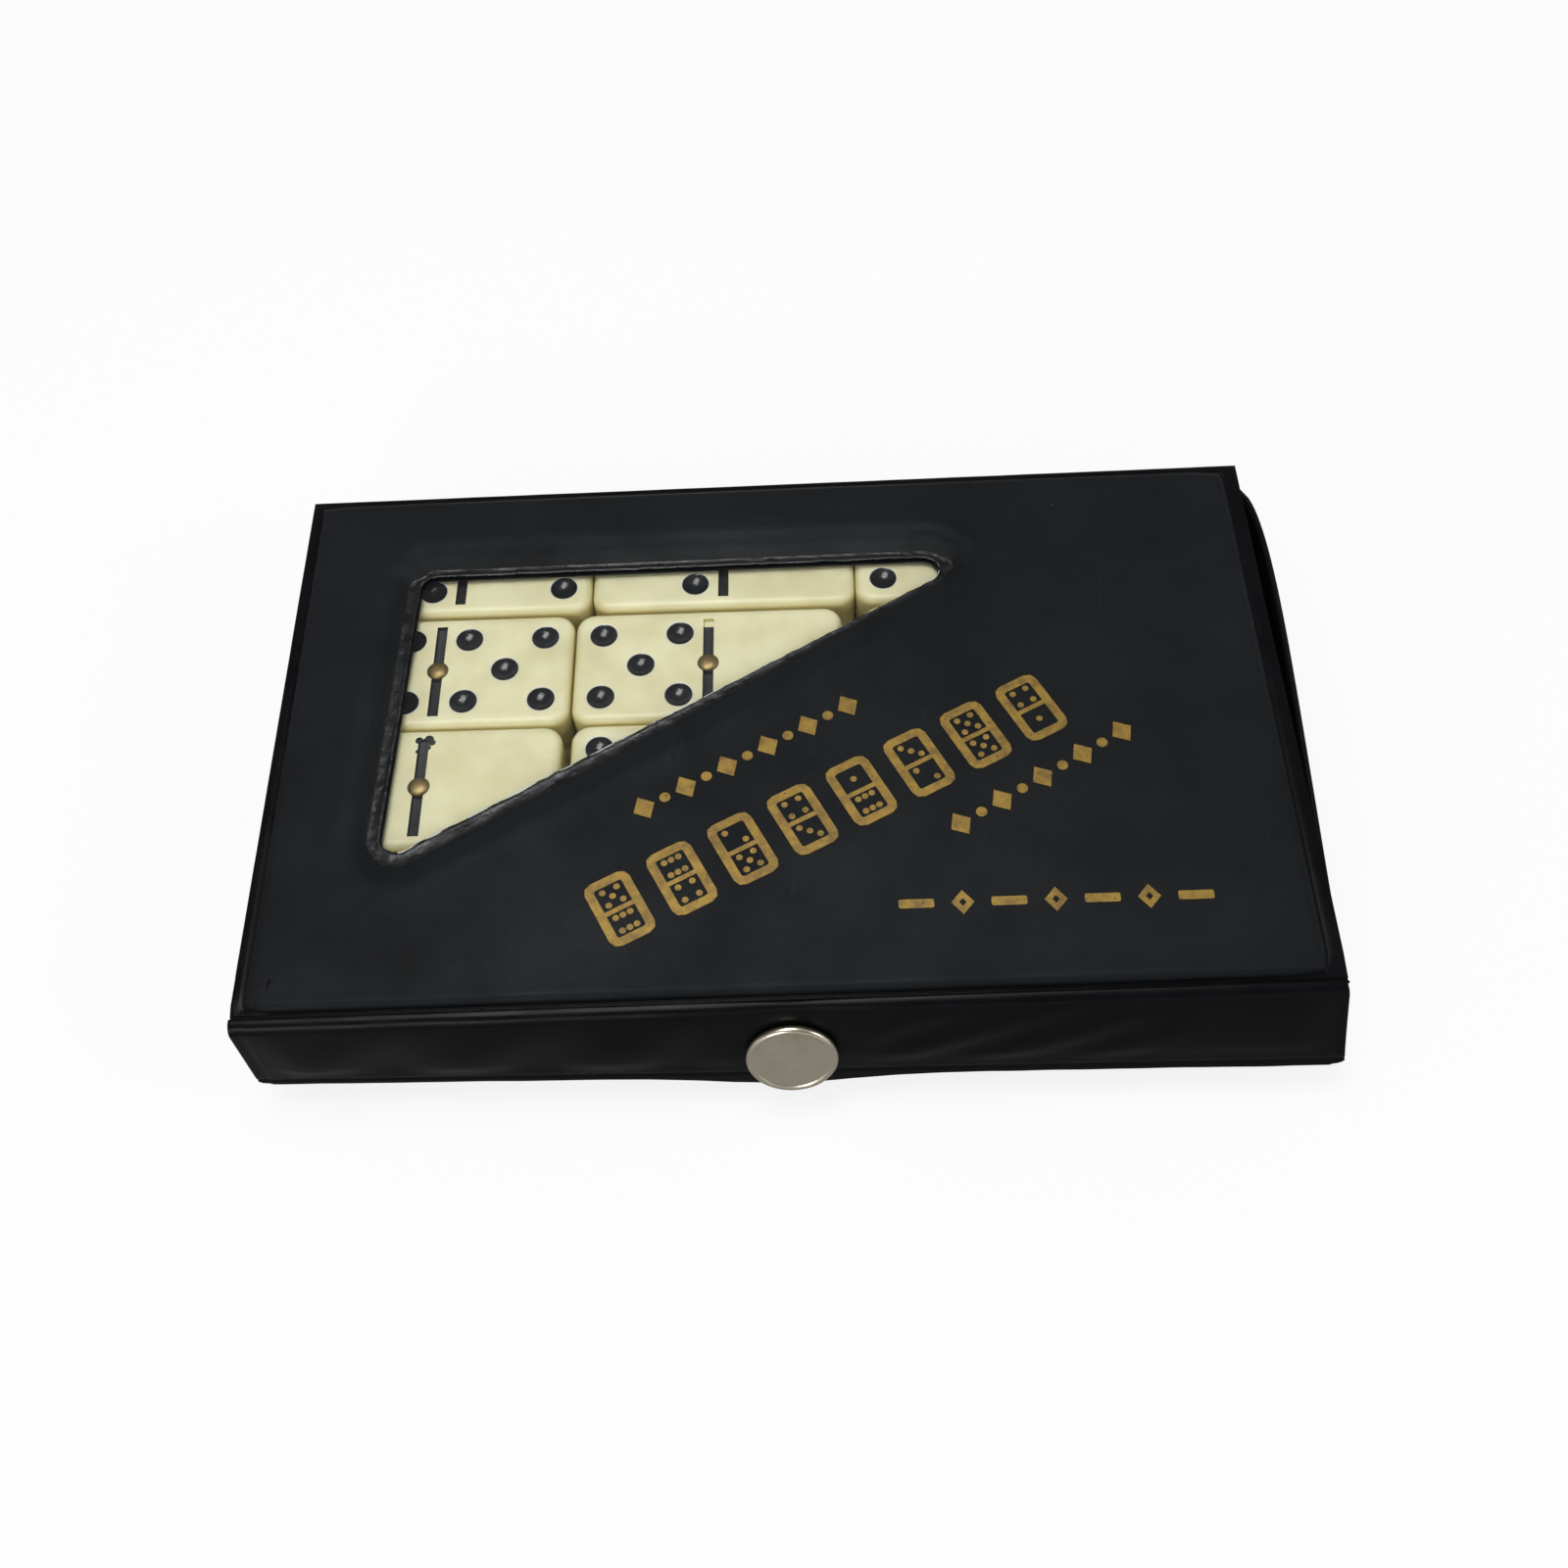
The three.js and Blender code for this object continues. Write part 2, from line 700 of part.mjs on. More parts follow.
/** The stud on the front of the side wall, and the eyelet behind that holds it. */
function stud() {
  const frame = snapFrame();
  const outside = snapDepths.wall + GAP;
  const inside = snapDepths.wall - WALL.thickness - GAP;
  const tip = snapDepths.flap - GAP - 1.1;
  const body = turned(
    [
      [SNAP.barrel + 0.3, outside],
      [5, outside],
      [5, outside + 0.5],
      [2.4, outside + 0.7],
      [2.4, tip - 1.6],
      [SNAP.studRadius, tip - 1],
      [SNAP.studRadius - 0.5, tip - 0.2],
      [0, tip],
      [0, tip - 1],
      [SNAP.barrel + 0.3, tip - 1],
      [SNAP.barrel + 0.3, outside],
    ],
    SNAP.sides,
  );
  frame.add(part("snap_stud", body, nickel));
  const eyelet = turned(
    [
      [0, inside - 0.6],
      [4.2, inside - 0.6],
      [4.5, inside],
      [SNAP.barrel, inside],
      [SNAP.barrel, tip - 1.3],
      [0, tip - 1.3],
    ],
    SNAP.sides,
  );
  frame.add(part("stud_eyelet", eyelet, nickel));
  return frame;
}

// ---- The whole set -------------------------------------------------------------------------------

const group = new THREE.Group();
group.add(base(), dominoes(), stud(), lid(), flap());

export default group;
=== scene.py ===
"""A double-six domino set in its black vinyl case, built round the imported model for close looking.

Lengths are millimetres until mm() or at() turns them into metres. X runs along the case, -Y is the
front with the press stud, and +Z is up.
"""

import json
import logging
import math
from collections.abc import Callable, Iterator
from contextlib import contextmanager
from dataclasses import dataclass, field
from enum import Enum

import bpy
from mathutils import Matrix, Vector, noise

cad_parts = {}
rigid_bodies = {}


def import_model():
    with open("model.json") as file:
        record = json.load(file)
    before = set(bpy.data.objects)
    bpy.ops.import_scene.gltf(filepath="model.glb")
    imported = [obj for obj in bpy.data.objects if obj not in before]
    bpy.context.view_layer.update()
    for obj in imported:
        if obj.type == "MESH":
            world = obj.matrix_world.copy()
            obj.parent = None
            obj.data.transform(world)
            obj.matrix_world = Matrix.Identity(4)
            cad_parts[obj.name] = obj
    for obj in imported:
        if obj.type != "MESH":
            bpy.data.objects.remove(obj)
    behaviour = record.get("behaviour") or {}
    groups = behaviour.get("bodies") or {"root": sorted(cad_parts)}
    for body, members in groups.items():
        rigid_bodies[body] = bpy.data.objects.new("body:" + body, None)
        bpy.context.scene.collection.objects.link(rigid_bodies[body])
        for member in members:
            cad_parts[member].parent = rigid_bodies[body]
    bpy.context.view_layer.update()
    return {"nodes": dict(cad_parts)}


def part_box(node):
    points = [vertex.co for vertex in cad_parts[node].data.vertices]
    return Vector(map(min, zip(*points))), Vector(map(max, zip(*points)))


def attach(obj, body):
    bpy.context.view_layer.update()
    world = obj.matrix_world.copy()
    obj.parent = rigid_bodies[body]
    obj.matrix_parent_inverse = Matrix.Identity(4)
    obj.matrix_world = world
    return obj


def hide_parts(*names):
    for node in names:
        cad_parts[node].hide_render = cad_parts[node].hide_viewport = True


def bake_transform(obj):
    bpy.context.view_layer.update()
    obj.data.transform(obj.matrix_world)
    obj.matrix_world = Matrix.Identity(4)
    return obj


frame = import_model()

log = logging.getLogger("domino_case")

# ---- Measures and small helpers ------------------------------------------------------------------

AXIS = 0.002  # the radius, in millimetres, that stands for a turned part's axis until it is closed
SEAM = 0.004  # points nearer than this many millimetres are one point


def mm(length: float) -> float:
    """Returns a length in millimetres as metres."""
    return length * 0.001


def at(x: float, y: float, z: float) -> Vector:
    """Returns a place in millimetres as a vector in metres."""
    return Vector((mm(x), mm(y), mm(z)))


def per_mm(size: float) -> float:
    """Returns the texture scale whose features are so many millimetres across."""
    return 1.0 / mm(size)


def ease(share: float) -> float:
    """Returns a share from 0 to 1, eased at both of its ends."""
    share = min(max(share, 0.0), 1.0)
    return share * share * (3.0 - 2.0 * share)


def bell(distance: float, width: float) -> float:
    """Returns 1 at no distance, falling off smoothly over a width."""
    return math.exp(-((distance / width) ** 2))


def ripple(x: float, y: float, size: float, seed: float = 0.0) -> float:
    """Returns a smooth, fixed unevenness from -1 to 1, with swells of a size in millimetres."""
    return noise.noise(Vector((x / size, y / size, seed)))


def linear(colour: str) -> tuple[float, float, float, float]:
    """Turns an sRGB hex colour into the linear one that shaders work in.

    Args:
        colour: six hex digits after a hash sign.

    Returns:
        Red, green and blue in linear light, and a full alpha.
    """
    shares = (int(colour[i : i + 2], 16) / 255 for i in (1, 3, 5))
    red, green, blue = (s / 12.92 if s <= 0.04045 else ((s + 0.055) / 1.055) ** 2.4 for s in shares)
    return red, green, blue, 1.0


# ---- Modelling -----------------------------------------------------------------------------------

Piece = bpy.types.Object
Place = Callable[[float, float], Vector]


class Element(Enum):
    """What an edit works on."""

    VERTEX = "VERT"
    EDGE = "EDGE"
    FACE = "FACE"


def deselect() -> None:
    """Leaves nothing selected, so that an operator finds only what is picked for it."""
    for piece in bpy.context.view_layer.objects:
        piece.select_set(False)


def choose(*pieces: Piece) -> None:
    """Selects only these pieces, and makes the first one active."""
    deselect()
    for piece in pieces:
        piece.select_set(True)
    bpy.context.view_layer.objects.active = pieces[0]


@contextmanager
def editing(piece: Piece, element: Element | None = None) -> Iterator[None]:
    """Opens a piece in edit mode and leaves it afterwards.

    Args:
        piece: the piece to edit.
        element: the kind of element already picked, or nothing to select the whole piece.

    Yields:
        Nothing, while the piece is open.
    """
    choose(piece)
    kind = element or Element.VERTEX
    bpy.context.tool_settings.mesh_select_mode = tuple(kind is option for option in Element)
    bpy.ops.object.mode_set(mode="EDIT")
    if element is None:
        bpy.ops.mesh.select_all(action="SELECT")
    yield
    bpy.ops.object.mode_set(mode="OBJECT")


def pick(piece: Piece, element: Element, test: Callable[[Vector, Vector], bool]) -> None:
    """Selects the edges or faces of a piece that pass a test, and nothing else of it.

    Args:
        piece: the piece, out of edit mode.
        element: edges or faces.
        test: takes an element's middle and its direction or normal.
    """
    mesh = piece.data
    for item in (*mesh.vertices, *mesh.edges, *mesh.polygons):
        item.select = False
    if element is Element.FACE:
        for face in mesh.polygons:
            face.select = test(face.center, face.normal)
        return
    for edge in mesh.edges:
        first, last = (mesh.vertices[i].co for i in edge.vertices)
        edge.select = test((first + last) / 2, (last - first).normalized())


def settle(piece: Piece) -> Piece:
    """Puts a piece's place, turn and size into its mesh, and returns the piece."""
    choose(piece)
    bpy.ops.object.transform_apply(location=True, rotation=True, scale=True)
    return piece


def modify(piece: Piece, kind: str, **settings: object) -> None:
    """Adds a modifier to a piece and applies it.

    Args:
        piece: the piece to change.
        kind: the modifier's type.
        settings: the modifier's own settings.
    """
    choose(piece)
    modifier = piece.modifiers.new(kind.title(), kind)
    for name, value in settings.items():
        setattr(modifier, name, value)
    bpy.ops.object.modifier_apply(modifier=modifier.name)


def close_up(piece: Piece) -> None:
    """Merges a piece's doubled points and turns its faces outwards."""
    with editing(piece):
        bpy.ops.mesh.remove_doubles(threshold=mm(SEAM))
        bpy.ops.mesh.normals_make_consistent(inside=False)


def smooth(piece: Piece, angle: float = 32.0) -> None:
    """Shades a piece smooth, apart from its edges that are sharper than an angle in degrees."""
    choose(piece)
    bpy.ops.object.shade_smooth_by_angle(angle=math.radians(angle))


def copy_of(piece: Piece, name: str) -> Piece:
    """Returns a copy of a piece with a mesh of its own."""
    copy = piece.copy()
    copy.data = piece.data.copy()
    copy.name = copy.data.name = name
    bpy.context.collection.objects.link(copy)
    return copy


def discard(piece: Piece) -> None:
    """Removes a pattern piece or a cutter that has done its work."""
    bpy.data.meshes.remove(piece.data)


def joined(pieces: list[Piece], name: str) -> Piece:
    """Joins pieces into the first of them, and returns it under a name."""
    choose(*pieces)
    if len(pieces) > 1:
        bpy.ops.object.join()
    whole = bpy.context.view_layer.objects.active
    whole.name = whole.data.name = name
    return whole


def carve(piece: Piece, cutter: Piece, operation: str = "DIFFERENCE") -> None:
    """Cuts a cutter out of a piece, or joins it on, and removes the cutter."""
    modify(piece, "BOOLEAN", object=cutter, operation=operation, solver="EXACT")
    discard(cutter)


def set_slots(piece: Piece, number: Callable[[Vector], int]) -> None:
    """Gives each face the material slot that a function finds for its middle."""
    for face in piece.data.polygons:
        face.material_index = number(face.center)


def block(name: str, low: Vector, high: Vector) -> Piece:
    """Adds a block between two corners, and returns it."""
    deselect()
    bpy.ops.mesh.primitive_cube_add(size=1.0, location=(low + high) / 2, scale=high - low)
    piece = settle(bpy.context.object)
    piece.name = piece.data.name = name
    return piece


def turned(name: str, profile: list[tuple[float, float]], sides: int) -> Piece:
    """Turns a part about Z by drawing a ring out and resizing it along a profile.

    Args:
        name: the piece's name.
        profile: pairs of radius and height in millimetres. It starts and ends on the axis, or
            closes on itself.
        sides: how many sides the ring has.

    Returns:
        The closed piece.
    """
    deselect()
    radius, height = profile[0]
    bpy.ops.mesh.primitive_circle_add(vertices=sides, radius=mm(radius), location=at(0, 0, height))
    piece = settle(bpy.context.object)
    piece.name = piece.data.name = name
    with editing(piece):
        for next_radius, next_height in profile[1:]:
            rise = (0.0, 0.0, mm(next_height - height))
            bpy.ops.mesh.extrude_region_move(TRANSFORM_OT_translate={"value": rise})
            growth = next_radius / radius
            bpy.ops.transform.resize(value=(growth, growth, 1.0), center_override=(0.0, 0.0, 0.0))
            radius, height = next_radius, next_height
    close_up(piece)
    return piece


def shaped_grid(
    name: str,
    columns: int,
    rows: int,
    place: Place,
    slot: Callable[[float, float], int] | None = None,
) -> Piece:
    """Adds a grid and shapes it by moving each of its points where a formula says.

    Args:
        name: the piece's name.
        columns: how many faces it has along its first share, u.
        rows: how many faces it has along its second share, v.
        place: takes u and v, each from 0 to 1, and gives a place in metres.
        slot: takes a face's middle u and v and gives its material slot.

    Returns:
        The sheet, still without thickness.
    """
    deselect()
    bpy.ops.mesh.primitive_grid_add(x_subdivisions=columns, y_subdivisions=rows, size=1.0)
    sheet = settle(bpy.context.object)
    sheet.name = sheet.data.name = name
    if slot is not None:
        set_slots(sheet, lambda middle: slot(middle.x + 0.5, middle.y + 0.5))
    for vertex in sheet.data.vertices:
        u = round((vertex.co.x + 0.5) * columns) / columns
        v = round((vertex.co.y + 0.5) * rows) / rows
        vertex.co = place(u, v)
    with editing(sheet):
        bpy.ops.mesh.remove_doubles(threshold=mm(SEAM))
    return sheet


def thicken(sheet: Piece, thickness: float, rim_slot: int = 0, round_off: float = 0.0) -> None:
    """Gives a sheet its thickness, inwards from its outer face.

    Args:
        sheet: the sheet, with its normals outwards.
        thickness: in millimetres.
        rim_slot: how many slots past its own a cut edge takes its material from.
        round_off: the radius, in millimetres, that its cut edges are softened by.
    """
    modify(
        sheet,
        "SOLIDIFY",
        thickness=mm(thickness),
        offset=-1.0,
        use_even_offset=False,
        material_offset_rim=rim_slot,
    )
    if round_off:
        modify(
            sheet,
            "BEVEL",
            width=mm(round_off),
            segments=2,
            limit_method="ANGLE",
            angle_limit=math.radians(60),
        )


def flip(piece: Piece) -> None:
    """Turns every face of a piece the other way."""
    with editing(piece):
        bpy.ops.mesh.flip_normals()


# ---- Finishes ------------------------------------------------------------------------------------

Tree = bpy.types.NodeTree
Socket = bpy.types.NodeSocket

# A colour Mix node's sockets, which share their names with its other kinds.
MIX_SHARE, MIX_FROM, MIX_TO, MIXED = 0, 6, 7, 2


def add_node(
    tree: Tree,
    kind: str,
    settings: dict[str, object] | None = None,
    inputs: dict[str | int, object] | None = None,
) -> bpy.types.Node:
    """Adds a node with its settings, its values and its links.

    Args:
        tree: the material's node tree.
        kind: the node's type, without the word that every shader node starts with.
        settings: the node's own settings by name.
        inputs: what each input gets: a socket to link, or a value.

    Returns:
        The node.
    """
    node = tree.nodes.new(f"ShaderNode{kind}")
    for name, value in (settings or {}).items():
        setattr(node, name, value)
    for name, value in (inputs or {}).items():
        if isinstance(value, bpy.types.NodeSocket):
            tree.links.new(value, node.inputs[name])
        else:
            node.inputs[name].default_value = value
    return node


@dataclass(frozen=True)
class Finish:
    """A finish that becomes one material, made when it is first asked for."""

    name: str

    def material(self) -> bpy.types.Material:
        """Returns the finish's material."""
        made = bpy.data.materials.get(self.name)
        if made is None:
            made = bpy.data.materials.new(self.name)
            made.use_nodes = True
            made.node_tree.nodes.clear()
            surface = self.paint(made.node_tree)
            add_node(made.node_tree, "OutputMaterial", inputs={"Surface": surface})
        return made

    def paint(self, tree: Tree) -> Socket:
        """Builds the finish's nodes and returns their shader socket."""
        raise NotImplementedError

    def mottled(
        self,
        tree: Tree,
        texture: Socket,
        band: tuple[float, float, float],
        base: Socket | str,
        over: str,
    ) -> Socket:
        """Lays one colour over another wherever a texture's value has passed through a band.

        Args:
            tree: the material's node tree.
            texture: the texture's socket.
            band: the value where the second colour starts, where it is full, and its share there.
            base: the first colour, or the socket that gives it.
            over: the second colour.

        Returns:
            The mixed colour's socket.
        """
        start, full, most = band
        share = add_node(
            tree,
            "MapRange",
            inputs={"Value": texture, "From Min": start, "From Max": full, "To Min": 0.0, "To Max": most},
        ).outputs["Result"]
        first = linear(base) if isinstance(base, str) else base
        return add_node(
            tree, "Mix", {"data_type": "RGBA"}, {MIX_SHARE: share, MIX_FROM: first, MIX_TO: linear(over)}
        ).outputs[MIXED]

    def raised(
        self,
        tree: Tree,
        relief: Socket,
        depth: tuple[float, float],
        values: dict[str, object],
    ) -> Socket:
        """Ends a finish with a surface that a texture stands out from.

        Args:
            tree: the material's node tree.
            relief: the texture's socket.
            depth: how strongly it stands out, and how far in millimetres.
            values: what the surface's other inputs get.

        Returns:
            The shader's socket.
        """
        strength, height = depth
        normal = add_node(
            tree, "Bump", inputs={"Height": relief, "Strength": strength, "Distance": mm(height)}
        ).outputs["Normal"]
        return add_node(tree, "BsdfPrincipled", inputs={**values, "Normal": normal}).outputs["BSDF"]


@dataclass(frozen=True)
class Leathercloth(Finish):
    """Calendered PVC leathercloth with an embossed grain.

    The eye sees a near-black, slightly teal, dull sheet: a fine pebbled grain, broad rubbed patches,
    a few hair-thin scratches and some pale specks of lint.
    """

    deep: str = "#0a0c0e"
    rubbed: str = "#121517"
    scratch: str = "#3a3d40"
    lint: str = "#9a9a96"
    # The real grain is about 0.3 mm; it is drawn twice as coarse so that it shows.
    grain: float = 0.6
    rub: float = 26.0
    roughness: tuple[float, float] = (0.5, 0.66)
    specular: float = 0.15
    relief: float = 0.05

    def paint(self, tree: Tree) -> Socket:
        """Builds the leathercloth's nodes and returns their shader socket."""
        place = add_node(tree, "TexCoord").outputs["Object"]
        rubbed = add_node(
            tree,
            "TexNoise",
            inputs={"Vector": place, "Scale": per_mm(self.rub), "Detail": 4.0, "Roughness": 0.6},
        ).outputs["Fac"]
        pebbles = add_node(
            tree,
            "TexVoronoi",
            {"feature": "SMOOTH_F1"},
            {"Vector": place, "Scale": per_mm(self.grain), "Smoothness": 0.4},
        ).outputs["Distance"]
        cloth = self.mottled(tree, rubbed, (0.35, 0.7, 1.0), self.deep, self.rubbed)
        drawn = add_node(
            tree,
            "Mapping",
            inputs={"Vector": place, "Rotation": (0.0, 0.0, math.radians(38)), "Scale": (1.0, 0.22, 1.0)},
        ).outputs["Vector"]
        swirl = add_node(
            tree,
            "TexNoise",
            inputs={"Vector": drawn, "Scale": per_mm(17.0), "Detail": 1.5, "Distortion": 0.6},
        ).outputs["Fac"]
        off_middle = add_node(
            tree, "Math", {"operation": "COMPARE"}, {0: swirl, 1: 0.5, 2: 0.0011}
        ).outputs["Value"]
        where = add_node(
            tree, "TexNoise", inputs={"Vector": place, "Scale": per_mm(11.0), "Detail": 1.0}
        ).outputs["Fac"]
        patchy = add_node(
            tree,
            "MapRange",
            inputs={"Value": where, "From Min": 0.56, "From Max": 0.7, "To Min": 0.0, "To Max": 0.22},
        ).outputs["Result"]
        scratched = add_node(
            tree, "Math", {"operation": "MULTIPLY"}, {0: off_middle, 1: patchy}
        ).outputs["Value"]
        marked = add_node(
            tree,
            "Mix",
            {"data_type": "RGBA"},
            {MIX_SHARE: scratched, MIX_FROM: cloth, MIX_TO: linear(self.scratch)},
        ).outputs[MIXED]
        specks = add_node(
            tree, "TexVoronoi", inputs={"Vector": place, "Scale": per_mm(13.0)}
        ).outputs["Distance"]
        colour = self.mottled(tree, specks, (0.018, 0.01, 0.6), marked, self.lint)
        low, high = self.roughness
        dullness = add_node(
            tree,
            "MapRange",
            inputs={"Value": rubbed, "From Min": 0.3, "From Max": 0.7, "To Min": high, "To Max": low},
        ).outputs["Result"]
        values = {"Base Color": colour, "Roughness": dullness, "Specular IOR Level": self.specular}
        return self.raised(tree, pebbles, (0.55, self.relief), values)


@dataclass(frozen=True)
class PressedVinyl(Finish):
    """Plain PVC sheet, smooth or pressed by the welding tool.

    The eye sees black plastic with a soft gloss, which a slight unevenness breaks up.
    """

    deep: str = "#060708"
    light: str = "#0c0d0f"
    swell: float = 9.0
    texture: float = 0.9
    relief: float = 0.02
    roughness: tuple[float, float] = (0.24, 0.36)
    specular: float = 0.1

    def paint(self, tree: Tree) -> Socket:
        """Builds the pressed vinyl's nodes and returns their shader socket."""
        place = add_node(tree, "TexCoord").outputs["Object"]
        swells = add_node(
            tree, "TexNoise", inputs={"Vector": place, "Scale": per_mm(self.swell), "Detail": 3.0}
        ).outputs["Fac"]
        pits = add_node(
            tree,
            "TexNoise",
            inputs={"Vector": place, "Scale": per_mm(self.texture), "Detail": 4.0, "Roughness": 0.65},
        ).outputs["Fac"]
        colour = add_node(
            tree,
            "Mix",
            {"data_type": "RGBA"},
            {MIX_SHARE: swells, MIX_FROM: linear(self.deep), MIX_TO: linear(self.light)},
        ).outputs[MIXED]
        low, high = self.roughness
        dullness = add_node(
            tree,
            "MapRange",
            inputs={"Value": swells, "From Min": 0.3, "From Max": 0.7, "To Min": low, "To Max": high},
        ).outputs["Result"]
        values = {"Base Color": colour, "Roughness": dullness, "Specular IOR Level": self.specular}
        return self.raised(tree, pits, (0.5, self.relief), values)


@dataclass(frozen=True)
class CutEdge(Finish):
    """The cut edge of welded vinyl, with a painted glint of light along it.

    The eye sees a thin line that is black in stretches and whitish in others; the whitish stretches are
    painted glint where light catches the edge.
    """

    black: str = "#101113"
    # Painted glint: this whitish colour stands for light glinting off the cut edge.
    glint_white: str = "#c9cbc8"
    stretch: float = 5.0

    def paint(self, tree: Tree) -> Socket:
        """Builds the cut edge's nodes and returns their shader socket."""
        place = add_node(tree, "TexCoord").outputs["Object"]
        glint_stretches = add_node(
            tree,
            "TexNoise",
            inputs={"Vector": place, "Scale": per_mm(self.stretch), "Detail": 5.0, "Roughness": 0.7},
        ).outputs["Fac"]
        # Painted glint, laid over the black edge in stretches.
        colour = self.mottled(tree, glint_stretches, (0.46, 0.56, 1.0), self.black, self.glint_white)
        return add_node(
            tree, "BsdfPrincipled", inputs={"Base Color": colour, "Roughness": 0.45}
        ).outputs["BSDF"]


@dataclass(frozen=True)
class LiningVinyl(Finish):
    """Thin lining vinyl, embossed like woven linen.

    The eye sees charcoal with a faint crosswise weave, a little paler on its raised threads.
    """

    hollow: str = "#141518"
    thread: str = "#24262a"
    # Real threads are 0.4 mm apart; they are drawn at 0.9 mm so that they show.
    spacing: float = 0.9
    relief: float = 0.05

    def paint(self, tree: Tree) -> Socket:
        """Builds the lining's nodes and returns their shader socket."""
        place = add_node(tree, "TexCoord").outputs["Object"]
        threads = [
            add_node(
                tree,
                "TexWave",
                {"wave_type": "BANDS", "bands_direction": way},
                {"Vector": place, "Scale": per_mm(self.spacing) / math.tau * 2, "Distortion": 0.6},
            ).outputs["Fac"]
            for way in ("X", "Y")
        ]
        weave = add_node(
            tree, "Math", {"operation": "MULTIPLY"}, {0: threads[0], 1: threads[1]}
        ).outputs["Value"]
        colour = add_node(
            tree,
            "Mix",
            {"data_type": "RGBA"},
            {MIX_SHARE: weave, MIX_FROM: linear(self.hollow), MIX_TO: linear(self.thread)},
        ).outputs[MIXED]
        values = {"Base Color": colour, "Roughness": 0.6, "Specular IOR Level": 0.35}
        return self.raised(tree, weave, (0.5, self.relief), values)


@dataclass(frozen=True)
class Greyboard(Finish):
    """Recycled greyboard, rolled and cut.

    The eye sees a dull grey-brown sheet with short fibres and scattered dark and pale flecks.
    """

    pulp: str = "#8d8475"
    pale: str = "#aaa190"
    fleck: str = "#5c554a"
    fibre: float = 2.4

    def paint(self, tree: Tree) -> Socket:
        """Builds the board's nodes and returns their shader socket."""
        place = add_node(tree, "TexCoord").outputs["Object"]
        laid = add_node(
            tree, "Mapping", inputs={"Vector": place, "Scale": (0.35, 1.0, 2.5)}
        ).outputs["Vector"]
        fibres = add_node(
            tree,
            "TexNoise",
            inputs={"Vector": laid, "Scale": per_mm(self.fibre), "Detail": 6.0, "Roughness": 0.75},
        ).outputs["Fac"]
        board = add_node(
            tree,
            "Mix",
            {"data_type": "RGBA"},
            {MIX_SHARE: fibres, MIX_FROM: linear(self.pulp), MIX_TO: linear(self.pale)},
        ).outputs[MIXED]
        spots = add_node(
            tree, "TexVoronoi", inputs={"Vector": place, "Scale": per_mm(2.0)}
        ).outputs["Distance"]
        colour = self.mottled(tree, spots, (0.16, 0.08, 0.8), board, self.fleck)
        values = {"Base Color": colour, "Roughness": 0.92}
        return self.raised(tree, fibres, (0.4, 0.08), values)


@dataclass(frozen=True)
class UreaResin(Finish):
    """Moulded and tumbled urea resin, the plastic of ivory-coloured tiles.

    The eye sees warm cream with a soft gloss and faint clouds inside it; its sides are painted darker and
    yellower, a painted shade.
    """

    face: str = "#eae7bf"
    cloud: str = "#e1dbae"
    # Painted shade: the darker, yellower colour of faces turned away from the overhead light.
    side: str = "#d6ca8c"
    cloud_size: float = 7.0

    def paint(self, tree: Tree) -> Socket:
        """Builds the resin's nodes and returns their shader socket."""
        where = add_node(tree, "TexCoord")
        place = where.outputs["Object"]
        clouds = add_node(
            tree, "TexNoise", inputs={"Vector": place, "Scale": per_mm(self.cloud_size), "Detail": 4.0}
        ).outputs["Fac"]
        faces = self.mottled(tree, clouds, (0.38, 0.66, 1.0), self.face, self.cloud)
        # Painted shade: the more a face turns from straight up, the more it takes the side colour.
        side_shade_share = add_node(tree, "SeparateXYZ", inputs={"Vector": where.outputs["Normal"]}).outputs["Z"]
        colour = self.mottled(tree, side_shade_share, (0.95, 0.3, 1.0), faces, self.side)
        tumbled = add_node(
            tree, "TexNoise", inputs={"Vector": place, "Scale": per_mm(1.6), "Detail": 3.0}
        ).outputs["Fac"]
        dullness = add_node(
            tree,
            "MapRange",
            inputs={"Value": tumbled, "From Min": 0.3, "From Max": 0.7, "To Min": 0.3, "To Max": 0.42},
        ).outputs["Result"]
        values = {
            "Base Color": colour,
            "Roughness": dullness,
            "Specular IOR Level": 0.45,
            "Subsurface Weight": 0.12,
            "Subsurface Scale": mm(1.5),
        }
        return self.raised(tree, tumbled, (0.15, 0.05), values)


@dataclass(frozen=True)
class PaintedHollow(Finish):
    """Enamel wiped into a hollow of the tile.

    The eye sees grey-black paint, pooled glossy in a pip or dry and dull in the groove.
    """

    body: str = "#15171a"
    thin: str = "#1f2124"
    roughness: float = 0.2
    streak: float = 1.3
    relief: float = 0.05

    def paint(self, tree: Tree) -> Socket:
        """Builds the paint's nodes and returns their shader socket."""
        place = add_node(tree, "TexCoord").outputs["Object"]
        pooled = add_node(
            tree,
            "TexNoise",
            inputs={"Vector": place, "Scale": per_mm(self.streak), "Detail": 4.0, "Roughness": 0.6},
        ).outputs["Fac"]
        colour = self.mottled(tree, pooled, (0.42, 0.68, 1.0), self.body, self.thin)
        values = {"Base Color": colour, "Roughness": self.roughness}
        return self.raised(tree, pooled, (0.2, self.relief), values)


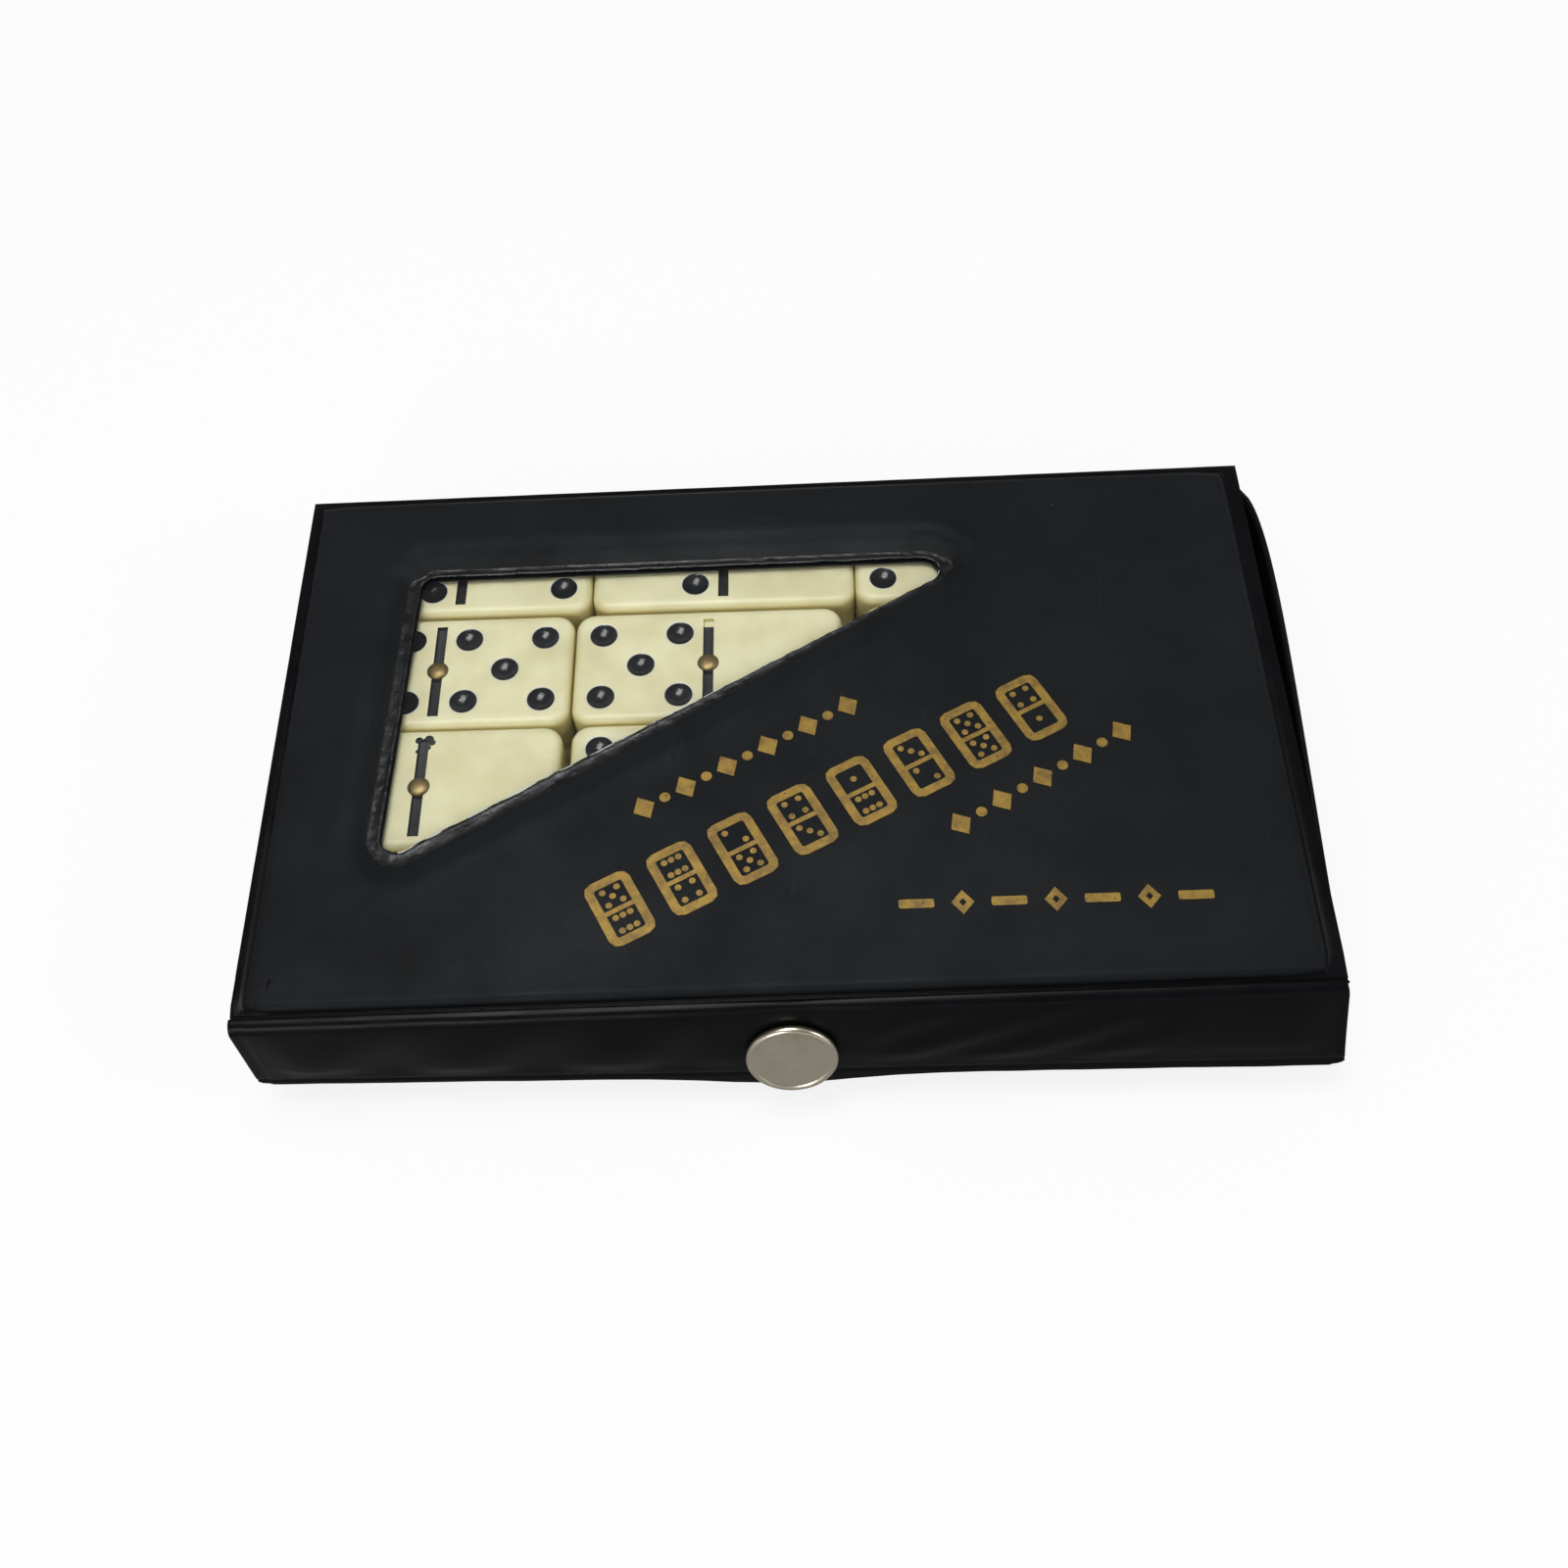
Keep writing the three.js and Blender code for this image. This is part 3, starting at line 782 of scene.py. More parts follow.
@dataclass(frozen=True)
class WornMetal(Finish):
    """Brass or nickel, turned or stamped, with smudges and a few dark specks.

    The eye sees a softly polished metal whose gloss is cloudy where hands have dulled it.
    """

    bright: str = "#d6cdb9"
    dull: str = "#c4baa3"
    speck: str = "#3b3833"
    smudge: float = 6.0
    speck_spacing: float = 8.0
    roughness: tuple[float, float] = (0.24, 0.36)

    def paint(self, tree: Tree) -> Socket:
        """Builds the metal's nodes and returns their shader socket."""
        place = add_node(tree, "TexCoord").outputs["Object"]
        smudges = add_node(
            tree,
            "TexNoise",
            inputs={"Vector": place, "Scale": per_mm(self.smudge), "Detail": 5.0, "Roughness": 0.6},
        ).outputs["Fac"]
        metal = self.mottled(tree, smudges, (0.4, 0.7, 1.0), self.bright, self.dull)
        specks = add_node(
            tree, "TexVoronoi", inputs={"Vector": place, "Scale": per_mm(self.speck_spacing)}
        ).outputs["Distance"]
        colour = self.mottled(tree, specks, (0.08, 0.04, 0.7), metal, self.speck)
        low, high = self.roughness
        dullness = add_node(
            tree,
            "MapRange",
            inputs={"Value": smudges, "From Min": 0.3, "From Max": 0.7, "To Min": low, "To Max": high},
        ).outputs["Result"]
        return add_node(
            tree, "BsdfPrincipled", inputs={"Base Color": colour, "Metallic": 1.0, "Roughness": dullness}
        ).outputs["BSDF"]


@dataclass(frozen=True)
class GoldFoil(Finish):
    """Hot-stamped gold foil, rubbed and mottled.

    The eye sees matt old gold with blotches where the foil is thin over the black.
    """

    gold: str = "#97792e"
    rubbed: str = "#6d5526"
    bare: str = "#2a2519"
    blotch: float = 2.6

    def paint(self, tree: Tree) -> Socket:
        """Builds the foil's nodes and returns their shader socket."""
        place = add_node(tree, "TexCoord").outputs["Object"]
        blotches = add_node(
            tree,
            "TexNoise",
            inputs={"Vector": place, "Scale": per_mm(self.blotch), "Detail": 5.0, "Roughness": 0.7},
        ).outputs["Fac"]
        foil = self.mottled(tree, blotches, (0.4, 0.66, 1.0), self.gold, self.rubbed)
        pinholes = add_node(
            tree, "TexNoise", inputs={"Vector": place, "Scale": per_mm(0.55), "Detail": 2.0}
        ).outputs["Fac"]
        colour = self.mottled(tree, pinholes, (0.66, 0.72, 0.8), foil, self.bare)
        values = {"Base Color": colour, "Metallic": 0.35, "Roughness": 0.48}
        return self.raised(tree, pinholes, (0.25, 0.03), values)


@dataclass(frozen=True)
class ClearFilm(Finish):
    """Clear plasticised PVC film, a little scuffed.

    The eye looks through it: only its gloss and a few hazy rubs show.
    """

    haze: float = 14.0
    square_on: float = 0.034  # the share of light that one face throws back square on

    def paint(self, tree: Tree) -> Socket:
        """Builds the film's nodes and returns their shader socket."""
        place = add_node(tree, "TexCoord").outputs["Object"]
        scuffs = add_node(
            tree,
            "TexNoise",
            inputs={"Vector": place, "Scale": per_mm(self.haze), "Detail": 6.0, "Roughness": 0.65},
        ).outputs["Fac"]
        hazy = add_node(
            tree,
            "MapRange",
            inputs={"Value": scuffs, "From Min": 0.4, "From Max": 0.75, "To Min": 0.0, "To Max": 0.03},
        ).outputs["Result"]
        # Both faces of the film shine alike: the share rises from square on to glancing.
        glancing = add_node(tree, "LayerWeight", inputs={"Blend": 0.5}).outputs["Facing"]
        steep = add_node(tree, "Math", {"operation": "POWER"}, {0: glancing, 1: 5.0}).outputs["Value"]
        gloss = add_node(
            tree,
            "Math",
            {"operation": "MULTIPLY_ADD"},
            {0: steep, 1: 1.0 - self.square_on, 2: self.square_on},
        ).outputs["Value"]
        share = add_node(
            tree, "Math", {"operation": "ADD", "use_clamp": True}, {0: hazy, 1: gloss}
        ).outputs["Value"]
        shine = add_node(
            tree,
            "BsdfPrincipled",
            inputs={"Base Color": linear("#eef0f0"), "Metallic": 1.0, "Roughness": 0.06},
        ).outputs["BSDF"]
        clear = add_node(tree, "BsdfTransparent").outputs["BSDF"]
        return add_node(tree, "MixShader", inputs={0: share, 1: clear, 2: shine}).outputs["Shader"]


LEATHERCLOTH = Leathercloth("embossed_pvc_leathercloth")
SMOOTH_VINYL = PressedVinyl("polished_pvc_sheet")
WALL_VINYL = PressedVinyl("soft_pvc_wall", deep="#08090a", light="#101113", roughness=(0.34, 0.48))
WELDED_VINYL = PressedVinyl(
    "heat_welded_pvc",
    deep="#070809",
    light="#131416",
    swell=3.0,
    texture=1.1,
    relief=0.2,
    roughness=(0.22, 0.42),
    specular=0.4,
)
FLANGE_VINYL = PressedVinyl(
    "pressed_pvc_flange", deep="#08090a", light="#0f1012", texture=1.4, relief=0.05, specular=0.08
)
# The cut edge, with its painted glint.
CUT_EDGE = CutEdge("cut_pvc_edge_painted_glint")
LINING = LiningVinyl("linen_embossed_pvc_lining")
BOARD = Greyboard("rolled_greyboard")
CREAM = UreaResin("tumbled_cream_urea_resin")
# Painted sheen: the paler, bluish ring round each pip and groove stands for the light its rim catches.
LIP_SHEEN = UreaResin("cream_lip_painted_sheen", face="#dfe0d0", cloud="#d6d7c6", side="#cfd0bd")
PIP_PAINT = PaintedHollow("pooled_black_enamel", roughness=0.18, streak=4.0, relief=0.005)
GROOVE_PAINT = PaintedHollow(
    "dry_black_enamel", body="#161719", thin="#242527", roughness=0.55, streak=2.0
)
BRASS = WornMetal(
    "turned_brass", bright="#97845a", dull="#776742", speck="#4a3a20", roughness=(0.38, 0.5)
)
NICKEL = WornMetal("nickel_plated_steel")
FOIL = GoldFoil("hot_stamped_gold_foil")
FILM = ClearFilm("clear_pvc_film")


def dress(piece: Piece, *finishes: Finish) -> None:
    """Gives a new piece the materials of these finishes, one for each slot."""
    for finish in finishes:
        piece.data.materials.append(finish.material())


def hand_over(piece: Piece, body: str, slot: str, *nodes: str) -> None:
    """Tells the frame what a finished piece rides on and the nodes it stands for."""
    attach(piece, body)
    if nodes:
        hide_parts(*nodes)
    log.info("%s rides on %s, %d faces", piece.name, body, len(piece.data.polygons))


# ---- Tiles ---------------------------------------------------------------------------------------

CORNERS = [(-1, 1), (1, -1), (-1, -1), (1, 1)]
PIP_SPOTS = [
    [],
    [(0, 0)],
    CORNERS[:2],
    [(0, 0), *CORNERS[:2]],
    CORNERS,
    [(0, 0), *CORNERS],
    [(0, 1), (0, -1), *CORNERS],
]


class TileSlot(Enum):
    """A tile's material slots."""

    RESIN = 0
    LIP_SHEEN = 1
    PIP = 2
    GROOVE = 3


class GrooveEnd(Enum):
    """How the paint ends at the back of a tile's groove."""

    CLEAN = "square and full"
    BARE = "short of the end"
    RAGGED = "torn and spread"


@dataclass
class TileSet:
    """The tiles and their brass pins, each cut from one blank by the same few cutters."""

    length: float = 50.8
    width: float = 25.4
    thickness: float = 9.5
    corner: float = 3.6
    edge: float = 1.7
    pip_radius: float = 2.6
    pip_depth: float = 0.95
    lip_width: float = 0.28
    lip_fall: float = 0.05
    pip_along: float = 7.27
    pip_across: float = 7.1
    groove_width: float = 2.0
    groove_length: float = 20.6
    groove_depth: float = 0.9
    bare_end: float = 1.3
    pin_head: float = 1.9
    pin_proud: float = 0.62
    skew: float = -0.6
    upper_from: float = 10.0
    groove_ends: dict[str, GrooveEnd] = field(
        default_factory=lambda: {"5_0": GrooveEnd.BARE, "0_0": GrooveEnd.RAGGED}
    )

    def blank(self) -> Piece:
        """Returns the plain tile, standing on z = 0, with round corners and softened edges."""
        half = at(self.length / 2, self.width / 2, 0)
        piece = block("tile_blank", -half, half + at(0, 0, self.thickness))
        pick(piece, Element.EDGE, lambda middle, way: abs(way.z) > 0.9)
        with editing(piece, Element.EDGE):
            bpy.ops.mesh.bevel(offset=mm(self.corner), segments=7)
        pick(piece, Element.EDGE, lambda middle, way: abs(way.z) < 0.1)
        with editing(piece, Element.EDGE):
            bpy.ops.mesh.bevel(offset=mm(self.edge), segments=5)
        pick(piece, Element.FACE, lambda middle, normal: abs(normal.z) > 0.99)
        with editing(piece, Element.FACE):
            bpy.ops.mesh.inset(thickness=mm(0.3), use_individual=True)
        return piece

    def dish(self) -> Piece:
        """Returns the cutter of a pip: a round dish with a shallow lip, open at z = 0."""
        radius = (self.pip_radius**2 + self.pip_depth**2) / (2 * self.pip_depth)
        reach = math.asin(self.pip_radius / radius)
        steps = 6
        floor = -self.lip_fall - self.pip_depth
        turns = [reach * k / steps for k in range(steps + 1)]
        curve = [
            (max(radius * math.sin(turn), AXIS), floor + radius * (1 - math.cos(turn))) for turn in turns
        ]
        outside = self.pip_radius + self.lip_width
        rim = [(outside, 0.01), (outside, 0.6), (AXIS, 0.6)]
        piece = turned("pip_dish", curve + rim, 28)
        lip = mm(-self.lip_fall - 0.005)
        # The lip ring takes the painted sheen; the dish takes the paint.
        set_slots(piece, lambda middle: (TileSlot.PIP if middle.z < lip else TileSlot.LIP_SHEEN).value)
        return piece

    def groove(self, end: GrooveEnd) -> Piece:
        """Returns the cutter of the middle groove with the stepped seat of the pin in it.

        Args:
            end: how its paint ends at the back.

        Returns:
            The cutter, with z = 0 at the tile's face.
        """
        half = at(self.groove_width / 2, self.groove_length / 2, 0)
        piece = block("groove", -half - at(0, 0, self.groove_depth), half + at(0, 0, 0.6))
        pick(piece, Element.EDGE, lambda middle, way: middle.z < mm(-self.groove_depth + 0.01))
        with editing(piece, Element.EDGE):
            bpy.ops.mesh.bevel(offset=mm(0.2), segments=2)
        if end is GrooveEnd.BARE:
            with editing(piece):
                bpy.ops.mesh.bisect(
                    plane_co=at(0, self.groove_length / 2 - self.bare_end, 0), plane_no=(0.0, 1.0, 0.0)
                )
        bare_from = mm(self.groove_length / 2 - self.bare_end if end is GrooveEnd.BARE else self.length)
        set_slots(
            piece, lambda middle: (TileSlot.RESIN if middle.y > bare_from else TileSlot.GROOVE).value
        )
        seat = [(AXIS, -5.3), (1.15, -5.3), (1.15, -1.4), (2.02, -1.4), (2.02, 0.5), (AXIS, 0.5)]
        cutters = [turned("pin_seat", seat, 24)]
        if end is GrooveEnd.RAGGED:
            blobs = [(-0.9, 0.3, 0.75), (0.9, 0.1, 0.9), (1.5, 0.8, 0.7)]
            blobs += [(0.9, 1.9, 0.55), (-1.0, 2.7, 0.4)]
            for x, short, radius in blobs:
                profile = [(AXIS, -0.5), (radius, -0.45), (radius, 0.4), (AXIS, 0.4)]
                blob = turned("spread_paint", profile, 9)
                blob.location = at(x, self.groove_length / 2 - short, 0)
                cutters.append(settle(blob))
        for cutter in cutters:
            set_slots(cutter, lambda middle: TileSlot.GROOVE.value)
            carve(piece, cutter, "UNION")
        return piece

    def pin(self) -> Piece:
        """Returns the brass pin: a domed head on a shank, with z = 0 at the tile's face."""
        steps = 5
        dome = [
            (
                max(self.pin_head * math.sin(math.pi / 2 * k / steps), AXIS),
                0.1 + (self.pin_proud - 0.1) * math.cos(math.pi / 2 * k / steps),
            )
            for k in range(steps + 1)
        ]
        shank = [(self.pin_head, -1.2), (1.0, -1.2), (1.0, -4.8), (0.8, -5.0), (AXIS, -5.0)]
        piece = turned("pin", dome + shank, 28)
        smooth(piece, 40)
        dress(piece, BRASS)
        return piece

    def cut(
        self, name: str, halves: tuple[int, int], blank: Piece, dish: Piece, groove: Piece
    ) -> Piece:
        """Cuts one tile.

        Args:
            name: the tile's name.
            halves: the counts of pips on its left and right halves.
            blank: the plain tile to copy.
            dish: the cutter of a pip.
            groove: the cutter of its groove.

        Returns:
            The tile, standing on z = 0 in the middle.
        """
        cutters = [copy_of(groove, "cutter")]
        cutters[0].location = at(0, 0, self.thickness)
        for side, count in zip((-1, 1), halves):
            for along, across in PIP_SPOTS[count]:
                cutter = copy_of(dish, "cutter")
                x = side * self.length / 4 + along * self.pip_along
                cutter.location = at(x, across * self.pip_across, self.thickness)
                cutters.append(cutter)
        tile = copy_of(blank, name)
        carve(tile, settle(joined(cutters, "cutters")))
        smooth(tile, 30)
        return tile

    def build(self) -> None:
        """Builds every tile and pin where the frame has it."""
        patterns = [self.blank(), self.dish(), self.pin()]
        blank, dish, pin = patterns
        grooves = {end: self.groove(end) for end in GrooveEnd}
        for pattern in (blank, dish, *grooves.values()):
            dress(pattern, CREAM, LIP_SHEEN, PIP_PAINT, GROOVE_PAINT)
        for node in sorted(name for name in frame["nodes"] if name.startswith("tile_")):
            pair = node.removeprefix("tile_")
            left, right = (int(count) for count in pair.split("_"))
            low, high = (Vector(corner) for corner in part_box(node))
            upright = high.y - low.y > high.x - low.x
            upper = low.z > mm(self.upper_from)
            turn = 90.0 if upright else self.skew if upper else 0.0
            middle = Vector(((low.x + high.x) / 2, (low.y + high.y) / 2, low.z))
            groove = grooves[self.groove_ends.get(pair, GrooveEnd.CLEAN)]
            tile = self.cut(f"domino_{pair}", (left, right), blank, dish, groove)
            head = copy_of(pin, f"pin_{pair}")
            for piece, rise in ((tile, 0.0), (head, mm(self.thickness))):
                piece.location = middle + Vector((0.0, 0.0, rise))
                piece.rotation_euler.z = math.radians(turn)
                settle(piece)
            hand_over(tile, "case", "cream_urea", node)
            hand_over(head, "case", "brass", *([f"spinner_{pair}"] if upper else []))
        for pattern in (*patterns, *grooves.values()):
            discard(pattern)


# ---- The lid -------------------------------------------------------------------------------------


class Zone(Enum):
    """What a ring of the lid's skin is measured from."""

    WINDOW = "grown from the window's edge, in millimetres"
    PANEL = "share of the way from the window's fold to the panel's edge"
    EDGE = "drawn in from the panel's edge, in millimetres"
    RIM = "share of the flat rim's width"


@dataclass(frozen=True)
class Ring:
    """One ring of points of the lid's skin."""

    zone: Zone
    reach: float
    height: float


@dataclass(frozen=True)
class Ray:
    """One line of the lid's skin, from the window's edge out to the rim."""

    centre: Vector
    out: Vector
    edge: Vector
    side: Vector
    tip: float


class SkinSlot(Enum):
    """The lid skin's material slots, of which two serve a cut edge and the skin's own rim."""

    CLOTH = 0
    WELD = 1
    CUT = 3
    FLANGE = 4


@dataclass
class Lid:
    """The lid: its skin with the window and the clear film. The gold ornament on its panel is built by
    Ornament.
    """

    half_width: float = 89.2
    front: float = -54.5
    back: float = 54.5
    corner: float = 2.2
    top: float = 27.0
    rim_left: float = 2.3
    rim_right: float = 3.1
    rim_front: float = 0.4
    rim_back: float = 1.9
    vinyl: float = 0.6
    window_left: float = -67.0
    window_back_left: float = -65.0
    window_right: float = 28.8
    window_front: float = -21.8
    window_back: float = 33.3
    window_radius: float = 3.0
    fold: float = 10.0
    ring_step: float = 0.85
    weld: float = 3.0

    def corners(self) -> list[tuple[Vector, float, float]]:
        """Returns each round corner of the window: its centre, and its first and last angle."""
        depth = self.window_back - self.window_front
        rise = math.atan2(depth, self.window_right - self.window_left)
        leftwards = math.pi - math.atan2(self.window_back_left - self.window_left, depth)
        quarter = math.pi / 2
        return [
            (Vector((self.window_left, self.window_front)), leftwards, quarter * 3 + rise),
            (Vector((self.window_right, self.window_back)), rise - quarter, quarter),
            (Vector((self.window_back_left, self.window_back)), quarter, leftwards),
        ]

    def hub(self) -> Vector:
        """Returns the middle of the window."""
        return sum((centre for centre, _, _ in self.corners()), Vector((0, 0))) / 3

    def rays(self) -> list[Ray]:
        """Returns the skin's lines, spaced evenly round the window."""
        corners = self.corners()
        hub = self.hub()
        rays = []
        for number, (centre, start, end) in enumerate(corners):
            following = corners[(number + 1) % len(corners)][0]
            tip = 1.0 if number == 1 else 0.0
            arc_steps = round((self.window_radius + 6) * (end - start) / self.ring_step)
            run_steps = round((following - centre).length / self.ring_step)
            stops = [(centre, start + (end - start) * k / arc_steps, tip) for k in range(arc_steps + 1)]
            stops += [(centre.lerp(following, k / run_steps), end, 0.0) for k in range(1, run_steps)]
            for middle, angle, at_tip in stops:
                out = Vector((math.cos(angle), math.sin(angle)))
                fold = middle + out * (self.window_radius + self.fold)
                edge, side = self.reach_edge(fold, fold - hub)
                rays.append(Ray(middle, out, edge, side, at_tip))
        return self.with_corners(rays)

    def reach_edge(self, start: Vector, way: Vector) -> tuple[Vector, Vector]:
        """Returns where a line meets the panel's edge, and which side of the panel that is.

        Args:
            start: a point on the panel.
            way: the line's direction.

        Returns:
            The point on the edge, and the side as a unit step in x or y.
        """
        wall_x = math.copysign(self.half_width, way.x)
        wall_y = self.back if way.y > 0 else self.front
        reach_x = (wall_x - start.x) / way.x if way.x else math.inf
        reach_y = (wall_y - start.y) / way.y if way.y else math.inf
        if reach_x < reach_y:
            return start + way * reach_x, Vector((math.copysign(1, way.x), 0))
        return start + way * reach_y, Vector((0, math.copysign(1, way.y)))

    def with_corners(self, rays: list[Ray]) -> list[Ray]:
        """Returns the lines with the nearest one to each corner of the panel moved onto it."""
        rays = list(rays)
        for x_side in (-1, 1):
            for y_side in (-1, 1):
                side = Vector((x_side, y_side))
                square = Vector((x_side * self.half_width, self.back if y_side > 0 else self.front))
                nearest = min(range(len(rays)), key=lambda k: (rays[k].edge - square).length)
                inward = self.corner * (1 - math.sqrt(0.5))
                old = rays[nearest]
                rays[nearest] = Ray(old.centre, old.out, square - side * inward, side, old.tip)
        return rays

    def rings(self) -> list[Ring]:
        """Returns the skin's rings, from the window's cut edge out to the rim."""
        weld = [(0, 25.46), (0.3, 25.58), (0.6, 25.6), (0.9, 25.55), (1.3, 25.5), (1.7, 25.52)]
        weld += [(2.1, 25.5), (2.5, 25.55), (2.9, 25.58)]
        slope = [(3.2, 25.66), (3.6, 25.84), (4.1, 26.1), (4.7, 26.38), (5.3, 26.62), (6.0, 26.84)]
        slope += [(6.7, 26.98), (7.4, 27.08), (8.1, 27.12), (8.9, 27.1), (self.fold, 27.03)]
        window = [Ring(Zone.WINDOW, reach, height) for reach, height in weld + slope]
        panel_rings = 22
        panel = [Ring(Zone.PANEL, (k + 1) / panel_rings, self.top) for k in range(panel_rings - 1)]
        falls = [(1.9, 27.0), (1.3, 26.98), (0.9, 26.9), (0.55, 26.74), (0.25, 26.48), (0.06, 26.15)]
        edge = [Ring(Zone.EDGE, reach, height) for reach, height in [*falls, (0.0, 25.85)]]
        flats = [(0.05, 25.66), (0.12, 25.58), (0.2, 25.64), (0.3, 25.74), (0.5, 25.76), (0.75, 25.74)]
        rim = [Ring(Zone.RIM, reach, height) for reach, height in [*flats, (0.92, 25.7), (1.0, 25.62)]]
        return window + panel + edge + rim

    def swell(self, x: float, y: float) -> float:
        """Returns how far the panel stands over its flat height, in millimetres."""
        inset = min(self.half_width - abs(x), self.back - y, y - self.front)
        calm = ease(inset / 9)
        broad = 0.11 * ripple(x, y, 38, 1.7) + 0.025 * ripple(x, y, 11, 4.1)
        return calm * broad

    def window_point(self, ray: Ray, ring: Ring) -> Vector:
        """Returns a point of the skin near the window, with the weld's roughness and creases."""
        spot = ray.centre + ray.out * (self.window_radius + ring.reach)
        height = ring.height
        reach = ring.reach
        weld = self.weld
        if reach < weld:
            reach += 0.2 * ripple(spot.x, spot.y, 3.2, 8.0) * (1 - reach / weld)
            height += 0.12 * ripple(spot.x, spot.y, 1.3, 2.0) + 0.08 * ripple(spot.x, spot.y, 4.0, 5.0)
        else:
            height += 0.1 * ease((reach - weld) / 4) * ripple(spot.x, spot.y, 13, 6.0)
            height += ease((reach - 6) / 4) * self.swell(spot.x, spot.y)
            height -= ray.tip * (0.34 * bell(reach - 6.6, 0.7) - 0.16 * bell(reach - 7.8, 0.7))
            # The vinyl is gathered over the back left corner, and lies softer along the back.
            gather = bell((spot - Vector((-64.0, 43.0))).length, 3.2)
            height += 0.42 * gather
            along_back = ease(ray.out.y * 2 - 1) * (1 - ray.tip)
            height -= along_back * 0.34 * bell(reach - 6.4, 1.6)
            height += along_back * 0.06 * ripple(spot.x, spot.y, 6.0, 3.3)
        # The weld is narrow along the back, and narrows to the right along the slanting side.
        narrow = 1 - 0.5 * self.slanting(ray) * ease((ray.centre.x + 45) / 60)
        narrow -= 0.45 * ease(ray.out.y * 2 - 0.6) + 0.2 * ease(-ray.out.x * 2 - 0.6)
        if reach < weld:
            reach *= narrow
        else:
            reach = self.fold - (self.fold - reach) * (self.fold - weld * narrow) / (self.fold - weld)
        spot = ray.centre + ray.out * (self.window_radius + reach)
        return Vector((spot.x, spot.y, height))

    def skin_point(self, ray: Ray, ring: Ring) -> Vector:
        """Returns where a line crosses a ring, in millimetres."""
        if ring.zone is Zone.WINDOW:
            return self.window_point(ray, ring)
        wide = self.rim_right if ray.side.x > 0 else self.rim_left
        deep = self.rim_back if ray.side.y > 0 else self.rim_front
        if ring.zone is Zone.PANEL:
            fold = ray.centre + ray.out * (self.window_radius + self.fold)
            spot = fold.lerp(ray.edge - ray.side * 2.2, ring.reach)
            soft = 0.03 * (1 - ease(ring.reach * 4))
            return Vector((spot.x, spot.y, ring.height + soft + self.swell(spot.x, spot.y)))
        if ring.zone is Zone.EDGE:
            spot = ray.edge - ray.side * ring.reach
            bead = 0.07 * bell(ring.reach - 1.1, 0.5) if ray.side.y < 0 else 0.0
            return Vector((spot.x, spot.y, ring.height + bead))
        spot = ray.edge + Vector((ray.side.x * wide, ray.side.y * deep)) * ring.reach
        wave = 0.05 * ripple(spot.x, spot.y, 14, 9.0)
        if ray.side.y < 0:
            wave -= 0.5 * ease(ring.reach * 2)
        if ray.side.x and ray.side.y:
            # A corner's line starts inside the panel's corner, and ends on the rim's own.
            spot += ray.side * self.corner * (1 - math.sqrt(0.5)) * ring.reach
        sway = 0.1 * ripple(spot.x, spot.y, 14, 9.0) * ring.reach
        return Vector((spot.x + sway, spot.y, ring.height + wave))

    def slanting(self, ray: Ray) -> float:
        """Returns how fully a line crosses the window's slanting side, from 0 to 1."""
        return ease(-ray.out.y * 4) * ease(ray.out.x * 4)

    def slot_of(self, ray: Ray, ring: Ring) -> int:
        """Returns the material slot of the faces that follow a ring outwards along a line."""
        if ring.zone is Zone.WINDOW and ring.reach < 2.7:
            # Painted glint: only the slanting side's cut edge gets the whitish glint, where light catches
            # it.
            painted_glint = ring.reach == 0 and self.slanting(ray) > 0.5
            return (SkinSlot.CUT if painted_glint else SkinSlot.WELD).value
        return (SkinSlot.FLANGE if ring.zone is Zone.RIM else SkinSlot.CLOTH).value

    def skin(self) -> None:
        """Builds the vinyl skin over the lid's board, from the window's cut edge to the rim."""
        rays = self.rays()
        rings = self.rings()
        last = len(rings) - 1

        def place(u: float, v: float) -> Vector:
            """Returns the point where the line at u crosses the ring at v."""
            ray = rays[round(u * len(rays)) % len(rays)]
            return at(*self.skin_point(ray, rings[round(v * last)]))

        def slot(u: float, v: float) -> int:
            """Returns the material slot of the face whose middle is at u and v."""
            return self.slot_of(rays[int(u * len(rays))], rings[int(v * last)])

        piece = shaped_grid("lid_cover", len(rays), last, place, slot)
        flip(piece)
        thicken(piece, self.vinyl, rim_slot=1)
        smooth(piece, 45)
        dress(piece, LEATHERCLOTH, WELDED_VINYL, WELDED_VINYL, CUT_EDGE, FLANGE_VINYL, FLANGE_VINYL)
        hand_over(piece, "lid", "grained_vinyl", "lid_skin")

    def film(self) -> None:
        """Builds the clear film behind the window, with slow waves and one pinched spot."""
        rays = self.rays()
        hub = self.hub()
        low, high = (Vector(corner) / mm(1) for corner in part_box("window_film"))
        rows = 36
        pinch = Vector((-61.6, -6.2))

        def place(u: float, v: float) -> Vector:
            """Returns a point of the film on the line at u, a share v out from its middle."""
            ray = rays[round(u * len(rays)) % len(rays)]
            edge = ray.centre + ray.out * (self.window_radius + 4.6)
            spot = hub.lerp(edge, v)
            calm = 1 - ease((v - 0.8) / 0.2)
            wave = 0.1 * ripple(spot.x, spot.y, 24, 3.0)
            wave -= 0.22 * bell((spot - pinch).length, 1.1)
            return at(spot.x, spot.y, high.z + calm * wave)

        piece = shaped_grid("window_sheet", len(rays), rows, place)
        close_up(piece)
        if piece.data.polygons[0].normal.z < 0:
            flip(piece)
        thicken(piece, high.z - low.z)
        smooth(piece, 60)
        dress(piece, FILM)
        hand_over(piece, "lid", "clear_film", "window_film")

    def build(self) -> None:
        """Builds the skin and the film."""
        self.skin()
        self.film()


# ---- The gold ornament ---------------------------------------------------------------------------


class Motif(Enum):
    """A shape of the stamped ornament."""

    DIAMOND = "a filled diamond"
    OPEN_DIAMOND = "a diamond's outline"
    DOT = "a round dot"
    BAR = "a short bar along the row"
    TILE = "a tile's outline with its bar and pips"


